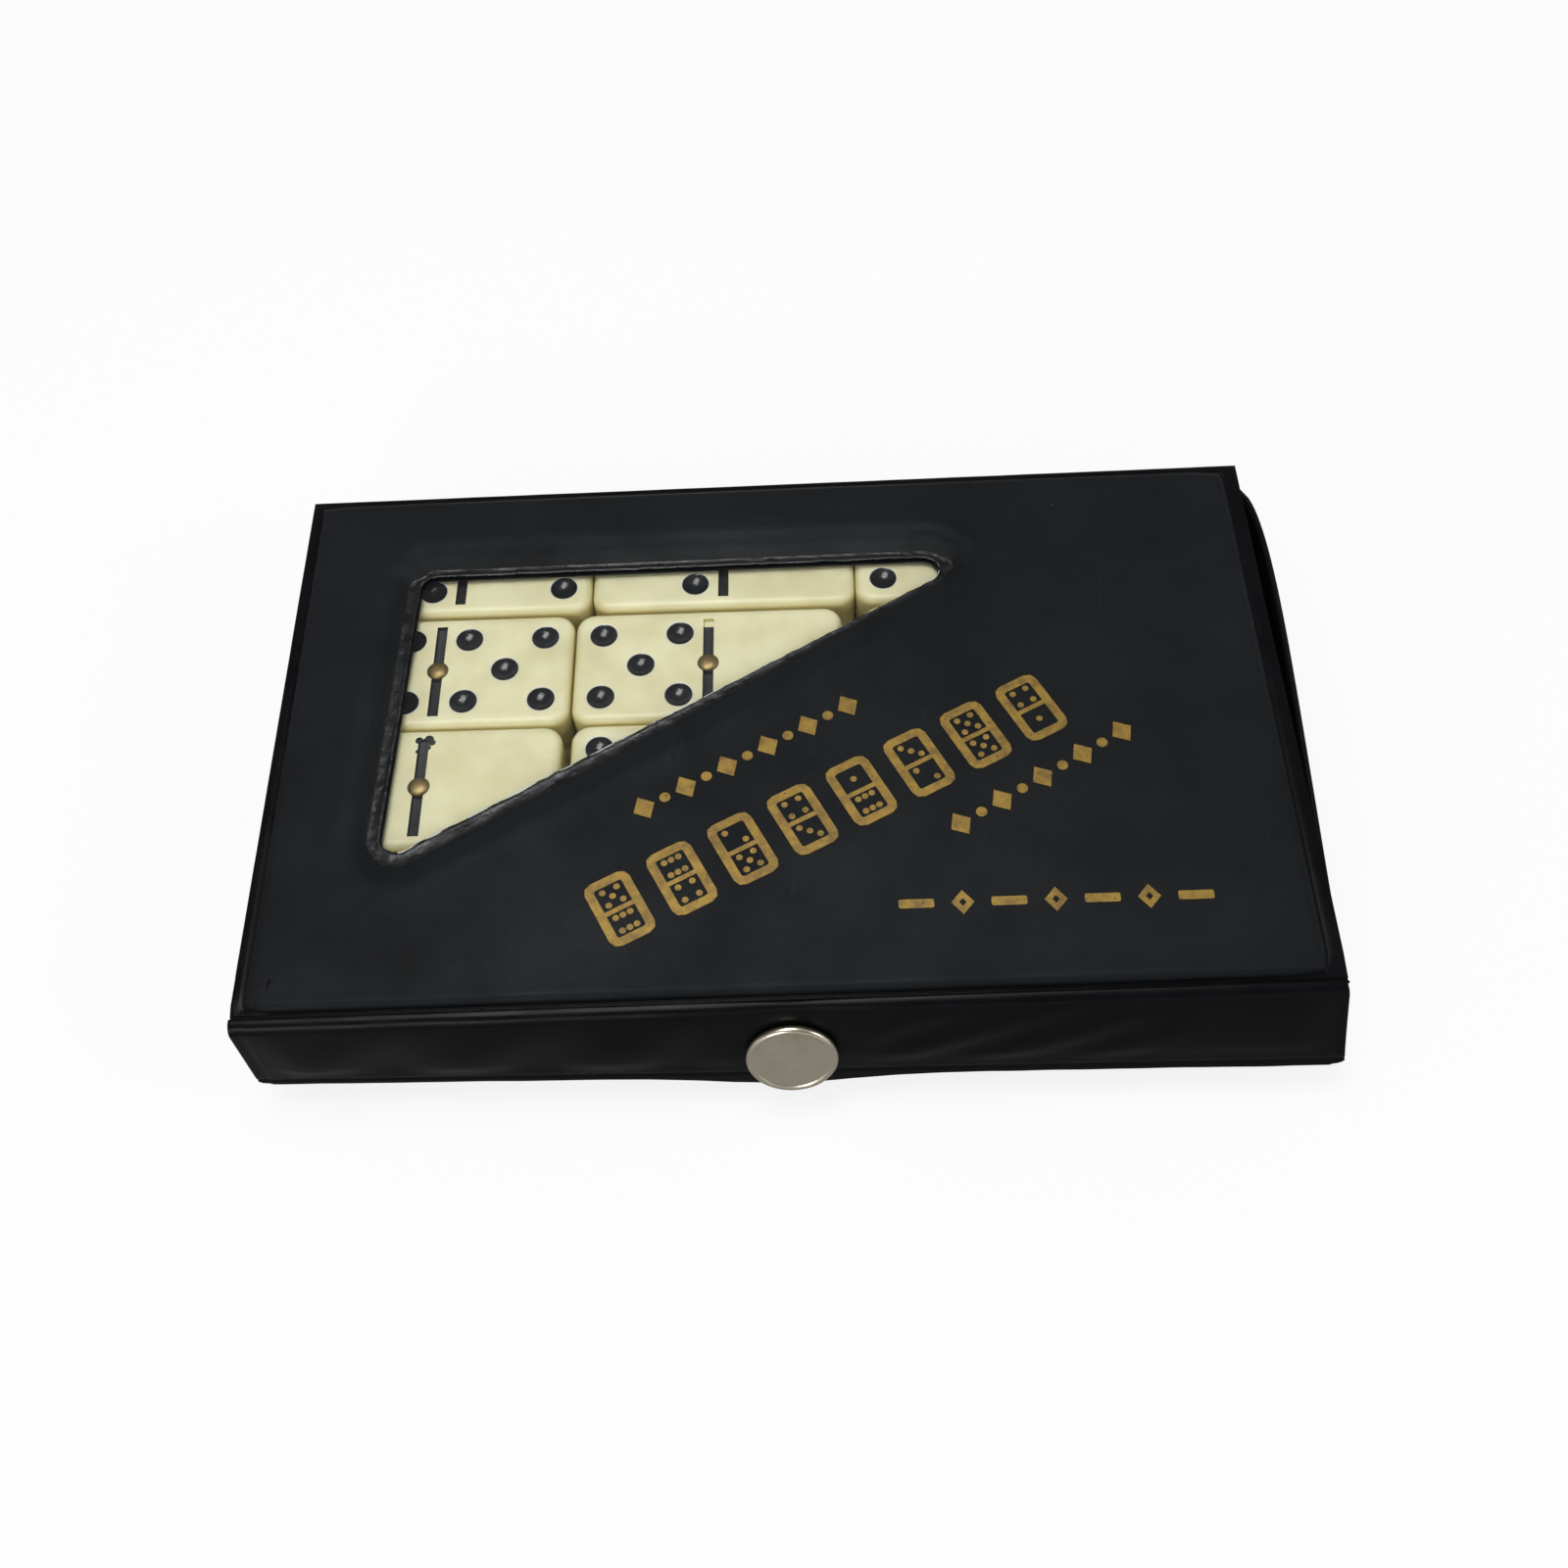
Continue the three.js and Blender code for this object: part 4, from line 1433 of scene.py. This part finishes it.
@dataclass
class Row:
    """A row of motifs along a straight line on the panel."""

    name: str
    start: tuple[float, float]
    end: tuple[float, float]
    height: float
    motifs: list[Motif]
    counts: list[tuple[int, int]] = field(default_factory=list)


@dataclass
class Ornament:
    """Gold foil stamped into the lid: rows of diamonds, dots, bars and small tiles."""

    lid: Lid
    foil: float = 0.05
    stroke: float = 1.6
    pip: float = 0.58

    def diamond(self, height: float) -> Piece:
        """Returns a filled diamond, taller than it is wide."""
        deselect()
        bpy.ops.mesh.primitive_circle_add(vertices=4, radius=mm(height / 2), fill_type="NGON")
        piece = bpy.context.object
        piece.scale.x = 0.84
        return settle(piece)

    def open_diamond(self, height: float) -> Piece:
        """Returns the outline of a diamond."""
        piece = self.diamond(height)
        pick(piece, Element.FACE, lambda middle, normal: True)
        with editing(piece, Element.FACE):
            bpy.ops.mesh.inset(thickness=mm(self.stroke * 0.62))
            bpy.ops.mesh.delete(type="FACE")
        return piece

    def dot(self, radius: float) -> Piece:
        """Returns a round dot."""
        deselect()
        bpy.ops.mesh.primitive_circle_add(vertices=18, radius=mm(radius), fill_type="NGON")
        return bpy.context.object

    def bar(self, length: float, width: float) -> Piece:
        """Returns a bar with soft corners."""
        deselect()
        bpy.ops.mesh.primitive_plane_add(size=1.0)
        piece = bpy.context.object
        piece.scale = (mm(length), mm(width), 1.0)
        settle(piece)
        with editing(piece):
            bpy.ops.mesh.bevel(offset=mm(min(length, width) * 0.2), segments=2, affect="VERTICES")
        return piece

    def tile(self, height: float, counts: tuple[int, int]) -> Piece:
        """Returns the outline of an upright tile with a bar and two counts of pips.

        Args:
            height: the tile's height.
            counts: its pips below and above the bar.

        Returns:
            The flat shape.
        """
        width = height * 0.64
        frame_piece = self.bar(width, height)
        pick(frame_piece, Element.FACE, lambda middle, normal: True)
        with editing(frame_piece, Element.FACE):
            bpy.ops.mesh.inset(thickness=mm(self.stroke))
            bpy.ops.mesh.delete(type="FACE")
        pieces = [frame_piece, self.bar(width - 2.0 * self.stroke + 0.05, self.stroke * 0.55)]
        for side, count in zip((-1, 1), counts):
            for across, along in PIP_SPOTS[count]:
                spot = self.dot(self.pip)
                spot.location = at(across * width * 0.16, (side * 0.205 + along * 0.102) * height, 0)
                pieces.append(settle(spot))
        return joined(pieces, "stamped_tile")

    def motif(self, kind: Motif, height: float, counts: tuple[int, int]) -> Piece:
        """Returns one motif, flat and in the middle."""
        makers: dict[Motif, Callable[[], Piece]] = {
            Motif.DIAMOND: lambda: self.diamond(height),
            Motif.OPEN_DIAMOND: lambda: self.open_diamond(height),
            Motif.DOT: lambda: self.dot(height * 0.2),
            Motif.BAR: lambda: self.bar(height * 1.3, height * 0.36),
            Motif.TILE: lambda: self.tile(height, counts),
        }
        return makers[kind]()

    def stamp(self, row: Row) -> None:
        """Lays one row of foil on the panel, following the panel's own swells."""
        start, end = Vector(row.start), Vector(row.end)
        turn = math.atan2(end.y - start.y, end.x - start.x)
        counts = iter(row.counts)
        pieces = []
        for number, kind in enumerate(row.motifs):
            pair = next(counts) if kind is Motif.TILE else (0, 0)
            piece = self.motif(kind, row.height, pair)
            spot = start.lerp(end, number / (len(row.motifs) - 1))
            piece.matrix_world = Matrix.Translation(at(spot.x, spot.y, 0)) @ Matrix.Rotation(turn, 4, "Z")
            pieces.append(settle(piece))
        foil = joined(pieces, row.name)
        with editing(foil):
            bpy.ops.mesh.normals_make_consistent(inside=False)
        if foil.data.polygons[0].normal.z < 0:
            flip(foil)
        for vertex in foil.data.vertices:
            x, y = vertex.co.x / mm(1), vertex.co.y / mm(1)
            vertex.co.z = mm(self.lid.top + self.lid.swell(x, y) + self.foil)
        thicken(foil, self.foil * 1.6)
        dress(foil, FOIL)
        hand_over(foil, "lid", "gold_foil")

    def build(self) -> None:
        """Stamps the four rows."""
        small = [Motif.DIAMOND, Motif.DOT]
        self.stamp(Row("foil_upper_row", (-23.5, -18.6), (13.0, 1.4), 4.9, small * 5 + small[:1]))
        pairs = [(6, 5), (4, 6), (5, 2), (3, 4), (6, 1), (2, 3), (5, 5), (1, 4)]
        self.stamp(
            Row("foil_tile_row", (-27.2, -38.2), (46.0, -0.6), 13.2, [Motif.TILE] * len(pairs), pairs)
        )
        self.stamp(Row("foil_lower_row", (31.5, -24.2), (61.5, -6.4), 4.9, small * 4 + small[:1]))
        rule = [Motif.BAR, Motif.OPEN_DIAMOND]
        self.stamp(Row("foil_front_row", (22.8, -39.4), (69.6, -39.6), 4.6, rule * 3 + rule[:1]))


# ---- The flap and the press stud -----------------------------------------------------------------


@dataclass
class Flap:
    """The flap: a puffed vinyl skin with welded edges, folded down from the lid's front edge."""

    left: float = -91.5
    right: float = 93.0
    lean: float = 12.0
    lean_left: float = 5.0
    lean_right: float = 18.0
    flat_half: float = 10.0
    fold_centre: tuple[float, float] = (-55.75, 23.6)
    fold_radius: float = 2.2
    drop: float = 17.15
    dip: float = 1.9
    top: float = -0.25
    vinyl: float = 0.6
    weld: float = 1.6
    stud_x: float = 1.0
    stud_down: float = 9.95
    stud_tilt: float = 6.0
    flare: float = 1.2

    def lean_at(self, x: float) -> float:
        """Returns the flap's lean at a place along it, in radians: it hangs twisted."""
        start, end = self.stud_x - self.flat_half, self.stud_x + self.flat_half
        if x < start:
            lean = self.lean + (self.lean_left - self.lean) * (start - x) / (start - self.left)
        else:
            share = max(x - end, 0.0) / (self.right - end)
            lean = self.lean + (self.lean_right - self.lean) * share
        return math.radians(lean)

    def bend_at(self, x: float) -> float:
        """Returns the length of the fold's curve at a place along it."""
        return self.fold_radius * (math.pi / 2 - self.lean_at(x))

    def face(self, x: float, down: float, out: float) -> Vector:
        """Returns a place on the flap.

        Args:
            x: along the flap.
            down: how far down its face from the top of the fold, in millimetres.
            out: how far out from the face.

        Returns:
            The place in metres.
        """
        lean = self.lean_at(x)
        bend = self.bend_at(x)
        centre_y, centre_z = self.fold_centre
        angle = math.pi / 2 + min(down, bend) / self.fold_radius
        radius = self.fold_radius + out
        y = centre_y + radius * math.cos(angle)
        z = centre_z + radius * math.sin(angle)
        if down > bend:
            y -= (down - bend) * math.sin(lean)
            z -= (down - bend) * math.cos(lean)
        return at(x, y, z)

    def puff(self, x: float, down: float) -> float:
        """Returns how far the skin stands out at a point of the face, in millimetres."""
        bend = self.bend_at(x)
        face = down - bend
        sunk = self.drop - face
        from_end = min(x - self.left, self.right - x)
        inside = ease((sunk - self.weld) / 5) * ease((from_end - self.weld) / 7)
        share = min(max(face / self.drop, 0.0), 1.0)
        left_half = ease((-8 - x) / 14) * ease((x + 92) / 12)
        folds = 0.5 * left_half * math.sin(math.tau * (x + 5 + 0.35 * face) / 26) * ease(share * 1.6)
        folds += 0.16 * left_half * ripple(x, down, 12, 2.2)
        right_half = ease((x - 12) / 10) * ease((70 - x) / 18)
        folds += 0.2 * right_half * math.sin(math.tau * (x + 2.1 * face) / 19) * math.sin(math.pi * share)
        crown = 0.5 * math.sin(math.pi * min(share * 1.05, 1.0)) ** 0.8 if share < 0.95 else 0.0
        pull = -0.45 * bell(math.hypot(x - self.stud_x, down - self.stud_down - bend), 11)
        # Round the stud, the skin follows the tilted cap.
        over_stud = self.stud_down + bend - down
        pull -= math.tan(math.radians(self.stud_tilt)) * over_stud * bell(
            math.hypot(x - self.stud_x, over_stud), 10
        )
        slack = 0.07 * ripple(x, down, 20, 7.7)
        weld = -0.22 * bell(sunk - self.weld, 0.38) - 0.22 * bell(from_end - self.weld, 0.38)
        settled = ease((self.drop - face) / 2.2)
        fold_swell = 0.1 * ripple(x, 0, 17, 5.5) * (1 - share)
        return inside * (folds + crown * settled + pull + slack) + weld * ease(down / 3) + fold_swell

    def flared(self, x: float, share: float) -> float:
        """Returns x with the flap's right end drawn in at the fold and let out at the bottom."""
        return x + self.flare * (2 * share - 1) * ease((x - 55) / 38)

    def trimmed(self, x: float, share: float) -> float:
        """Returns how far down the face a share of its whole length is, at a place along it."""
        from_end = min(x - self.left, self.right - x)
        edge = 0.22 * ripple(x, 0, 22, 3.1) + 0.1 * ripple(x, 0, 7, 1.1)
        edge += self.dip * bell(x - self.stud_x, 16)
        length = self.bend_at(x) + self.drop + edge * ease(from_end / 13)
        # The bottom corners are trimmed round.
        trim = 0.16 * max(0.0, 2.6 - from_end) ** 2 * share**6
        return self.top + (length - self.top) * share - trim

    def skin(self) -> None:
        """Builds the outer skin of the flap."""

        def place(u: float, v: float) -> Vector:
            """Returns a point of the skin's outer face."""
            x = self.left + (self.right - self.left) * u
            down = self.trimmed(x, v)
            return self.face(self.flared(x, v), down, self.puff(x, down))

        piece = shaped_grid("flap_cover", 300, 64, place)
        flip(piece)
        thicken(piece, self.vinyl, round_off=0.12)
        smooth(piece, 50)
        dress(piece, SMOOTH_VINYL)
        hand_over(piece, "flap", "gloss_vinyl", "flap_skin")

    def backing(self) -> None:
        """Builds the lining, which follows the skin from behind and stops short of its edges."""
        margin = 0.35

        def place(u: float, v: float) -> Vector:
            """Returns a point of the lining's outer face."""
            x = self.left + margin + (self.right - self.left - 2 * margin) * u
            down = self.trimmed(x, margin / self.drop + (1 - 2 * margin / self.drop) * v)
            return self.face(self.flared(x, v), down, self.puff(x, down) - self.vinyl - 0.15)

        piece = shaped_grid("flap_backing", 160, 30, place)
        flip(piece)
        thicken(piece, 0.4)
        smooth(piece, 50)
        dress(piece, LINING)
        hand_over(piece, "flap", "lining_vinyl", "flap_lining")

    def build(self) -> None:
        """Builds the flap's skin and its lining."""
        self.skin()
        self.backing()


@dataclass
class PressStud:
    """The press stud: cap and socket on the flap, stud and eyelet on the front wall."""

    x: float = 1.0
    y: float = -60.18
    z: float = 14.33
    lean: float = 12.0
    cap_tilt: float = 6.0
    sides: int = 56
    foot: float = -56.2
    foot_height: float = 0.8

    def seat(self, piece: Piece, tilt: float) -> Piece:
        """Puts a turned piece on the stud's axis, which stands square on the flap but for a tilt."""
        turn = Matrix.Rotation(math.radians(90 - self.lean - tilt), 4, "X")
        piece.matrix_world = Matrix.Translation(at(self.x, self.y, self.z)) @ turn
        return settle(piece)

    def make(
        self,
        name: str,
        profile: list[tuple[float, float]],
        body: str,
        node: str,
        tilt: float = 0.0,
    ) -> None:
        """Turns one piece of the stud and hands it over.

        Args:
            name: the piece's name.
            profile: its radii and heights along the axis, from the flap's outer face.
            body: the body that it rides on.
            node: the node that it stands for.
            tilt: how many degrees its axis looks up from the stud's.
        """
        piece = turned(name, profile, self.sides)
        smooth(piece, 38)
        dress(piece, NICKEL)
        hand_over(self.seat(piece, tilt), body, "nickel", node)

    def cap(self) -> list[tuple[float, float]]:
        """Returns the cap's profile: a rivet stem, a rolled rim and a face with a slight dimple."""
        stem = [(AXIS, -1.9), (1.5, -1.9), (1.5, 0.25), (6.4, 0.25), (7.1, 0.3)]
        roll = [
            (7.08 + 0.76 * math.cos(math.radians(angle)), 1.08 + 0.8 * math.sin(math.radians(angle)))
            for angle in range(-75, 136, 15)
        ]
        face = [(6.25, 1.66), (5.8, 1.64), (5.2, 1.67), (4.2, 1.74), (3.2, 1.8), (2.5, 1.82)]
        dimple = [(2.0, 1.8), (1.5, 1.74), (0.9, 1.69), (0.4, 1.68), (AXIS, 1.68)]
        return stem + roll + face + dimple

    def socket(self) -> list[tuple[float, float]]:
        """Returns the socket's profile: a flange against the flap and a sprung collar."""
        return [
            (3.65, -3.9), (3.9, -4.02), (4.25, -3.95), (4.4, -3.7), (4.5, -2.6), (4.65, -2.25),
            (5.7, -2.16), (6.0, -2.0), (6.0, -1.62), (5.85, -1.5), (1.9, -1.5), (1.8, -1.65),
            (1.8, -2.0), (1.95, -2.12), (3.55, -2.2), (3.75, -2.5), (3.6, -3.2), (3.52, -3.5),
            (3.65, -3.9),
        ]

    def stud(self, wall: float) -> list[tuple[float, float]]:
        """Returns the stud's profile: a flange on the wall and a waisted ball."""
        out = wall + 0.2
        tip = -2.6
        return [
            (1.8, out), (4.8, out), (5.0, out + 0.2), (4.9, out + 0.48), (3.2, out + 0.6),
            (2.6, out + 0.8), (2.4, out + 1.2), (2.4, tip - 1.7), (2.75, tip - 1.35),
            (3.15, tip - 1.0), (3.2, tip - 0.75), (3.05, tip - 0.4), (2.6, tip - 0.15),
            (1.6, tip - 0.02), (AXIS, tip), (AXIS, tip - 0.9), (1.75, tip - 1.0), (1.8, out),
        ]

    def eyelet(self, wall: float) -> list[tuple[float, float]]:
        """Returns the eyelet's profile: a domed flange behind the wall and its barrel."""
        back = wall - 1.2
        tip = -3.9
        return [
            (AXIS, back - 0.62), (2.0, back - 0.6), (3.6, back - 0.5), (4.3, back - 0.32),
            (4.5, back - 0.1), (4.4, back), (1.5, back), (1.5, tip), (AXIS, tip),
        ]

    def build(self) -> None:
        """Builds the four pieces where the frame's own nodes end."""
        lean = math.radians(self.lean)
        wall_y = self.foot + (self.z - self.foot_height) * math.tan(lean)
        wall = -(wall_y - self.y) * math.cos(lean)
        self.make("stud_cap", self.cap(), "flap", "snap_cap", self.cap_tilt)
        self.make("stud_socket", self.socket(), "flap", "snap_socket")
        self.make("stud_ball", self.stud(wall), "case", "snap_stud")
        self.make("stud_rivet", self.eyelet(wall), "case", "stud_eyelet")


# ---- The base ------------------------------------------------------------------------------------


@dataclass
class Base:
    """The case under the lid: its bottom, its soft side wall and its back."""

    half_width: float = 92.0
    front: float = -56.2
    back: float = 51.5
    end: float = 57.2
    bottom: float = 0.8
    top: float = 23.8
    corner: float = 5.0
    bulge: float = 3.3
    lean: float = 12.0
    vinyl: float = 1.0

    def wall_point(self, u: float, z: float) -> Vector:
        """Returns a point of the side wall's outer face.

        Args:
            u: the share of the way from the wall's left end round the front to its right end.
            z: its height.

        Returns:
            The place in metres.
        """
        climb = (z - self.bottom) / (self.top - self.bottom)
        full = ease(climb * 1.7)
        left = -self.half_width - 0.4 * full
        right = self.half_width + 0.7 * full
        front = self.front + (z - self.bottom) * math.tan(math.radians(self.lean))
        foot = front + self.corner
        side = self.back - foot
        arc = self.corner * math.pi / 2
        width = right - left - 2 * self.corner
        tail = self.end - self.back
        walk = u * (2 * tail + 2 * side + 2 * arc + width) - tail
        slack = 0.35 * full * math.sin(math.pi * min(climb, 1.0)) * ripple(walk, z, 21, 2.6)
        slack *= ease((walk + tail) / 15)
        if walk < side:
            return at(left - slack, self.back - walk, z)
        walk -= side
        if walk < arc:
            angle = math.pi + walk / self.corner
            return at(left + self.corner * (1 + math.cos(angle)), foot + self.corner * math.sin(angle), z)
        walk -= arc
        if walk < width:
            return at(left + self.corner + walk, front, z)
        walk -= width
        if walk < arc:
            angle = math.pi * 1.5 + walk / self.corner
            return at(
                right + self.corner * (math.cos(angle) - 1), foot + self.corner * math.sin(angle), z
            )
        walk -= arc
        if walk > side:
            return at(right, self.back + walk - side, z)
        share = 1 - walk / side
        swell = self.bulge * full * math.sin(math.pi * share**0.45)
        return at(right + swell + slack * ease(share * 8), self.back - share * side, z)

    def wall(self) -> None:
        """Builds the side wall, its cut edges softened."""

        def place(u: float, v: float) -> Vector:
            """Returns a point of the wall's outer face."""
            return self.wall_point(u, self.bottom + (self.top - self.bottom) * v)

        piece = shaped_grid("case_wall", 260, 20, place)
        thicken(piece, self.vinyl, round_off=0.38)
        smooth(piece, 50)
        dress(piece, WALL_VINYL)
        hand_over(piece, "case", "gloss_vinyl", "side_wall")

    def welded_plate(self, node: str, name: str, way: Vector, corner: float) -> None:
        """Builds a flat skin with a welded seam pressed in round its outer face.

        Args:
            node: the node that it stands for, which gives its box.
            name: the piece's name.
            way: the direction that its outer face looks.
            corner: the radius of its corners.
        """
        low, high = (Vector(side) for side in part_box(node))
        piece = block(name, low, high)
        pick(piece, Element.EDGE, lambda middle, along: abs(along.dot(way)) > 0.9)
        with editing(piece, Element.EDGE):
            bpy.ops.mesh.bevel(offset=mm(corner), segments=5)
        pick(piece, Element.FACE, lambda middle, normal: normal.dot(way) > 0.9)
        press = Vector(way) * mm(-0.25)
        with editing(piece, Element.FACE):
            bpy.ops.mesh.inset(thickness=mm(0.15))
            bpy.ops.mesh.inset(thickness=mm(1.9))
            bpy.ops.mesh.inset(thickness=mm(0.3))
            bpy.ops.transform.translate(value=press)
            bpy.ops.mesh.inset(thickness=mm(0.45))
            bpy.ops.mesh.inset(thickness=mm(0.4))
            bpy.ops.transform.translate(value=-press)
            bpy.ops.mesh.inset(thickness=mm(0.6))
        smooth(piece, 20)
        dress(piece, LEATHERCLOTH)
        hand_over(piece, "case", "grained_vinyl", node)

    def build(self) -> None:
        """Builds the wall, the bottom skin and the back skin."""
        self.wall()
        self.welded_plate("bottom_skin", "bottom_cover", Vector((0, 0, -1)), 4.0)
        self.welded_plate("back_skin", "back_cover", Vector((0, 1, 0)), 4.0)


@dataclass
class Folds:
    """The two folds of the vinyl at the hinges, fixed where they are built and attached to no body."""

    left: float = -91.5
    right: float = 92.2
    vinyl: float = 0.4

    def strip(
        self, name: str, line: list[tuple[float, float]], bodies: tuple[str, str]
    ) -> None:
        """Builds a curved strip that spans from one body to the other, attached to neither.

        Args:
            name: the piece's name.
            line: its section as pairs of y and z, from the first body to the second.
            bodies: the two bodies.
        """
        rows = len(line) - 1

        def place(u: float, v: float) -> Vector:
            """Returns a point of the strip, a share v of the way along its section."""
            x = self.left + (self.right - self.left) * u
            y, z = line[round(v * rows)]
            mid = math.sin(math.pi * v)
            return at(x, y, z + 0.05 * mid * ripple(x, 0, 8, 4.4))

        piece = shaped_grid(name, 120, rows, place)
        middle = piece.data.polygons[len(piece.data.polygons) // 2]
        if middle.normal.z < 0 or abs(middle.normal.z) < 0.2 and middle.normal.y < 0:
            flip(piece)
        thicken(piece, self.vinyl)
        smooth(piece, 60)
        dress(piece, SMOOTH_VINYL)
        start, end = at(0, *line[0]), at(0, *line[-1])
        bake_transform(piece)
        log.info("%s bends between %s and %s", name, *bodies)

    def build(self) -> None:
        """Builds the back fold and the front fold."""
        back = [(57.3, 22.4), (57.35, 23.2), (57.3, 24.0), (57.1, 24.7)]
        back += [(56.8, 25.2), (56.4, 25.55), (55.8, 25.7)]
        front = [(-54.6, 25.2), (-54.8, 24.98), (-55.0, 24.92)]
        front += [(-55.2, 24.98), (-55.4, 25.2), (-55.65, 25.55)]
        self.strip("back_fold", back, ("case", "lid"))
        self.strip("front_fold", front, ("lid", "flap"))


def dress_hidden_layers() -> None:
    """Gives the frame's own boards and linings their finishes."""
    for names, finish in (
        (("bottom_board", "back_board", "lid_board"), BOARD),
        (("floor_lining", "back_lining", "lid_lining"), LINING),
    ):
        for name in names:
            for slot in frame["nodes"][name].material_slots:
                slot.material = finish.material()
            log.info("%s keeps its shape and is dressed as %s", name, finish.name)


# ---- The studio ----------------------------------------------------------------------------------


@dataclass(frozen=True)
class SoftBox:
    """A soft lamp: where it hangs, its size, and its power in watts."""

    name: str
    place: tuple[float, float, float]
    aim: tuple[float, float, float]
    size: tuple[float, float]
    power: float


@dataclass
class Studio:
    """A plain pale floor, soft lamps and the camera."""

    lens: float = 37.5
    eye: tuple[float, float, float] = (6.55, -166.25, 271.35)
    look_down: float = 58.19
    swing: float = 2.05
    roll: float = -3.94
    floor: str = "#f4f4f4"
    floor_thrown: str = "#9c9c9c"
    floor_glow: float = 0.84
    lamps: tuple[SoftBox, ...] = (
        SoftBox("overhead_box", (-120, 60, 1000), (0, 0, 0), (620, 420), 6.6),
        SoftBox("front_box", (-420, -900, 520), (0, 0, 0), (520, 300), 3.0),
        SoftBox("right_box", (900, -260, 620), (0, 0, 0), (420, 420), 2.2),
    )

    def backdrop(self) -> None:
        """Lays the floor, which looks pale but throws only a dim light back on the case."""
        deselect()
        bpy.ops.mesh.primitive_plane_add(size=4.0, location=at(0, 0, -0.15))
        floor = bpy.context.object
        floor.name = "pale_floor"
        paper = bpy.data.materials.new("pale_paper")
        paper.use_nodes = True
        tree = paper.node_tree
        tree.nodes.clear()
        matt = add_node(tree, "BsdfDiffuse", inputs={"Color": linear(self.floor)}).outputs["BSDF"]
        glow = add_node(
            tree, "Emission", inputs={"Color": linear("#ffffff"), "Strength": 1.0}
        ).outputs["Emission"]
        seen = add_node(
            tree, "MixShader", inputs={0: self.floor_glow, 1: matt, 2: glow}
        ).outputs["Shader"]
        dim = add_node(tree, "BsdfDiffuse", inputs={"Color": linear(self.floor_thrown)}).outputs["BSDF"]
        by_eye = add_node(tree, "LightPath").outputs["Is Camera Ray"]
        both = add_node(tree, "MixShader", inputs={0: by_eye, 1: dim, 2: seen})
        add_node(tree, "OutputMaterial", inputs={"Surface": both.outputs["Shader"]})
        floor.data.materials.append(paper)

    def sky(self) -> None:
        """Makes the room's own light: pale near the horizon and dim overhead."""
        world = bpy.data.worlds.new("studio")
        bpy.context.scene.world = world
        world.use_nodes = True
        tree = world.node_tree
        tree.nodes.clear()
        way = add_node(tree, "TexCoord").outputs["Generated"]
        height = add_node(tree, "SeparateXYZ", inputs={"Vector": way}).outputs["Z"]
        strength = add_node(
            tree,
            "MapRange",
            inputs={"Value": height, "From Min": 0.05, "From Max": 0.55, "To Min": 0.85, "To Max": 0.16},
        ).outputs["Result"]
        light = add_node(
            tree, "Background", inputs={"Color": linear("#fbfcff"), "Strength": strength}
        ).outputs["Background"]
        add_node(tree, "OutputWorld", inputs={"Surface": light})

    def hang(self, box: SoftBox) -> None:
        """Hangs a soft lamp and aims it."""
        lamp = bpy.data.lights.new(box.name, "AREA")
        lamp.shape = "RECTANGLE"
        lamp.size, lamp.size_y = (mm(side) for side in box.size)
        lamp.energy = box.power
        stand = bpy.data.objects.new(box.name, lamp)
        place, aim = at(*box.place), at(*box.aim)
        turn = (aim - place).to_track_quat("-Z", "Y").to_matrix().to_4x4()
        stand.matrix_world = Matrix.Translation(place) @ turn
        bpy.context.collection.objects.link(stand)

    def camera(self) -> None:
        """Sets the camera up in front of the case, looking down at it."""
        lens = bpy.data.cameras.new("camera")
        lens.lens = self.lens
        lens.sensor_width = 36.0
        lens.clip_start = 0.005
        camera = bpy.data.objects.new("camera", lens)
        turn = (
            Matrix.Rotation(math.radians(self.swing), 4, "Z")
            @ Matrix.Rotation(math.radians(90 - self.look_down), 4, "X")
            @ Matrix.Rotation(math.radians(self.roll), 4, "Z")
        )
        camera.matrix_world = Matrix.Translation(at(*self.eye)) @ turn
        bpy.context.collection.objects.link(camera)
        bpy.context.scene.camera = camera

    def build(self) -> None:
        """Builds the studio."""
        bpy.context.scene.view_settings.view_transform = "Standard"
        self.camera()
        self.backdrop()
        self.sky()
        for box in self.lamps:
            self.hang(box)


def main() -> None:
    """Builds the studio and the whole set, sub-assembly by sub-assembly."""
    logging.basicConfig(level=logging.INFO, format="%(name)s: %(message)s")
    lid = Lid()
    for assembly in (Studio(), Base(), TileSet(), lid, Ornament(lid), Flap(), PressStud(), Folds()):
        log.info("building %s", type(assembly).__name__)
        assembly.build()
    dress_hidden_layers()


if __name__ == "__main__":
    main()
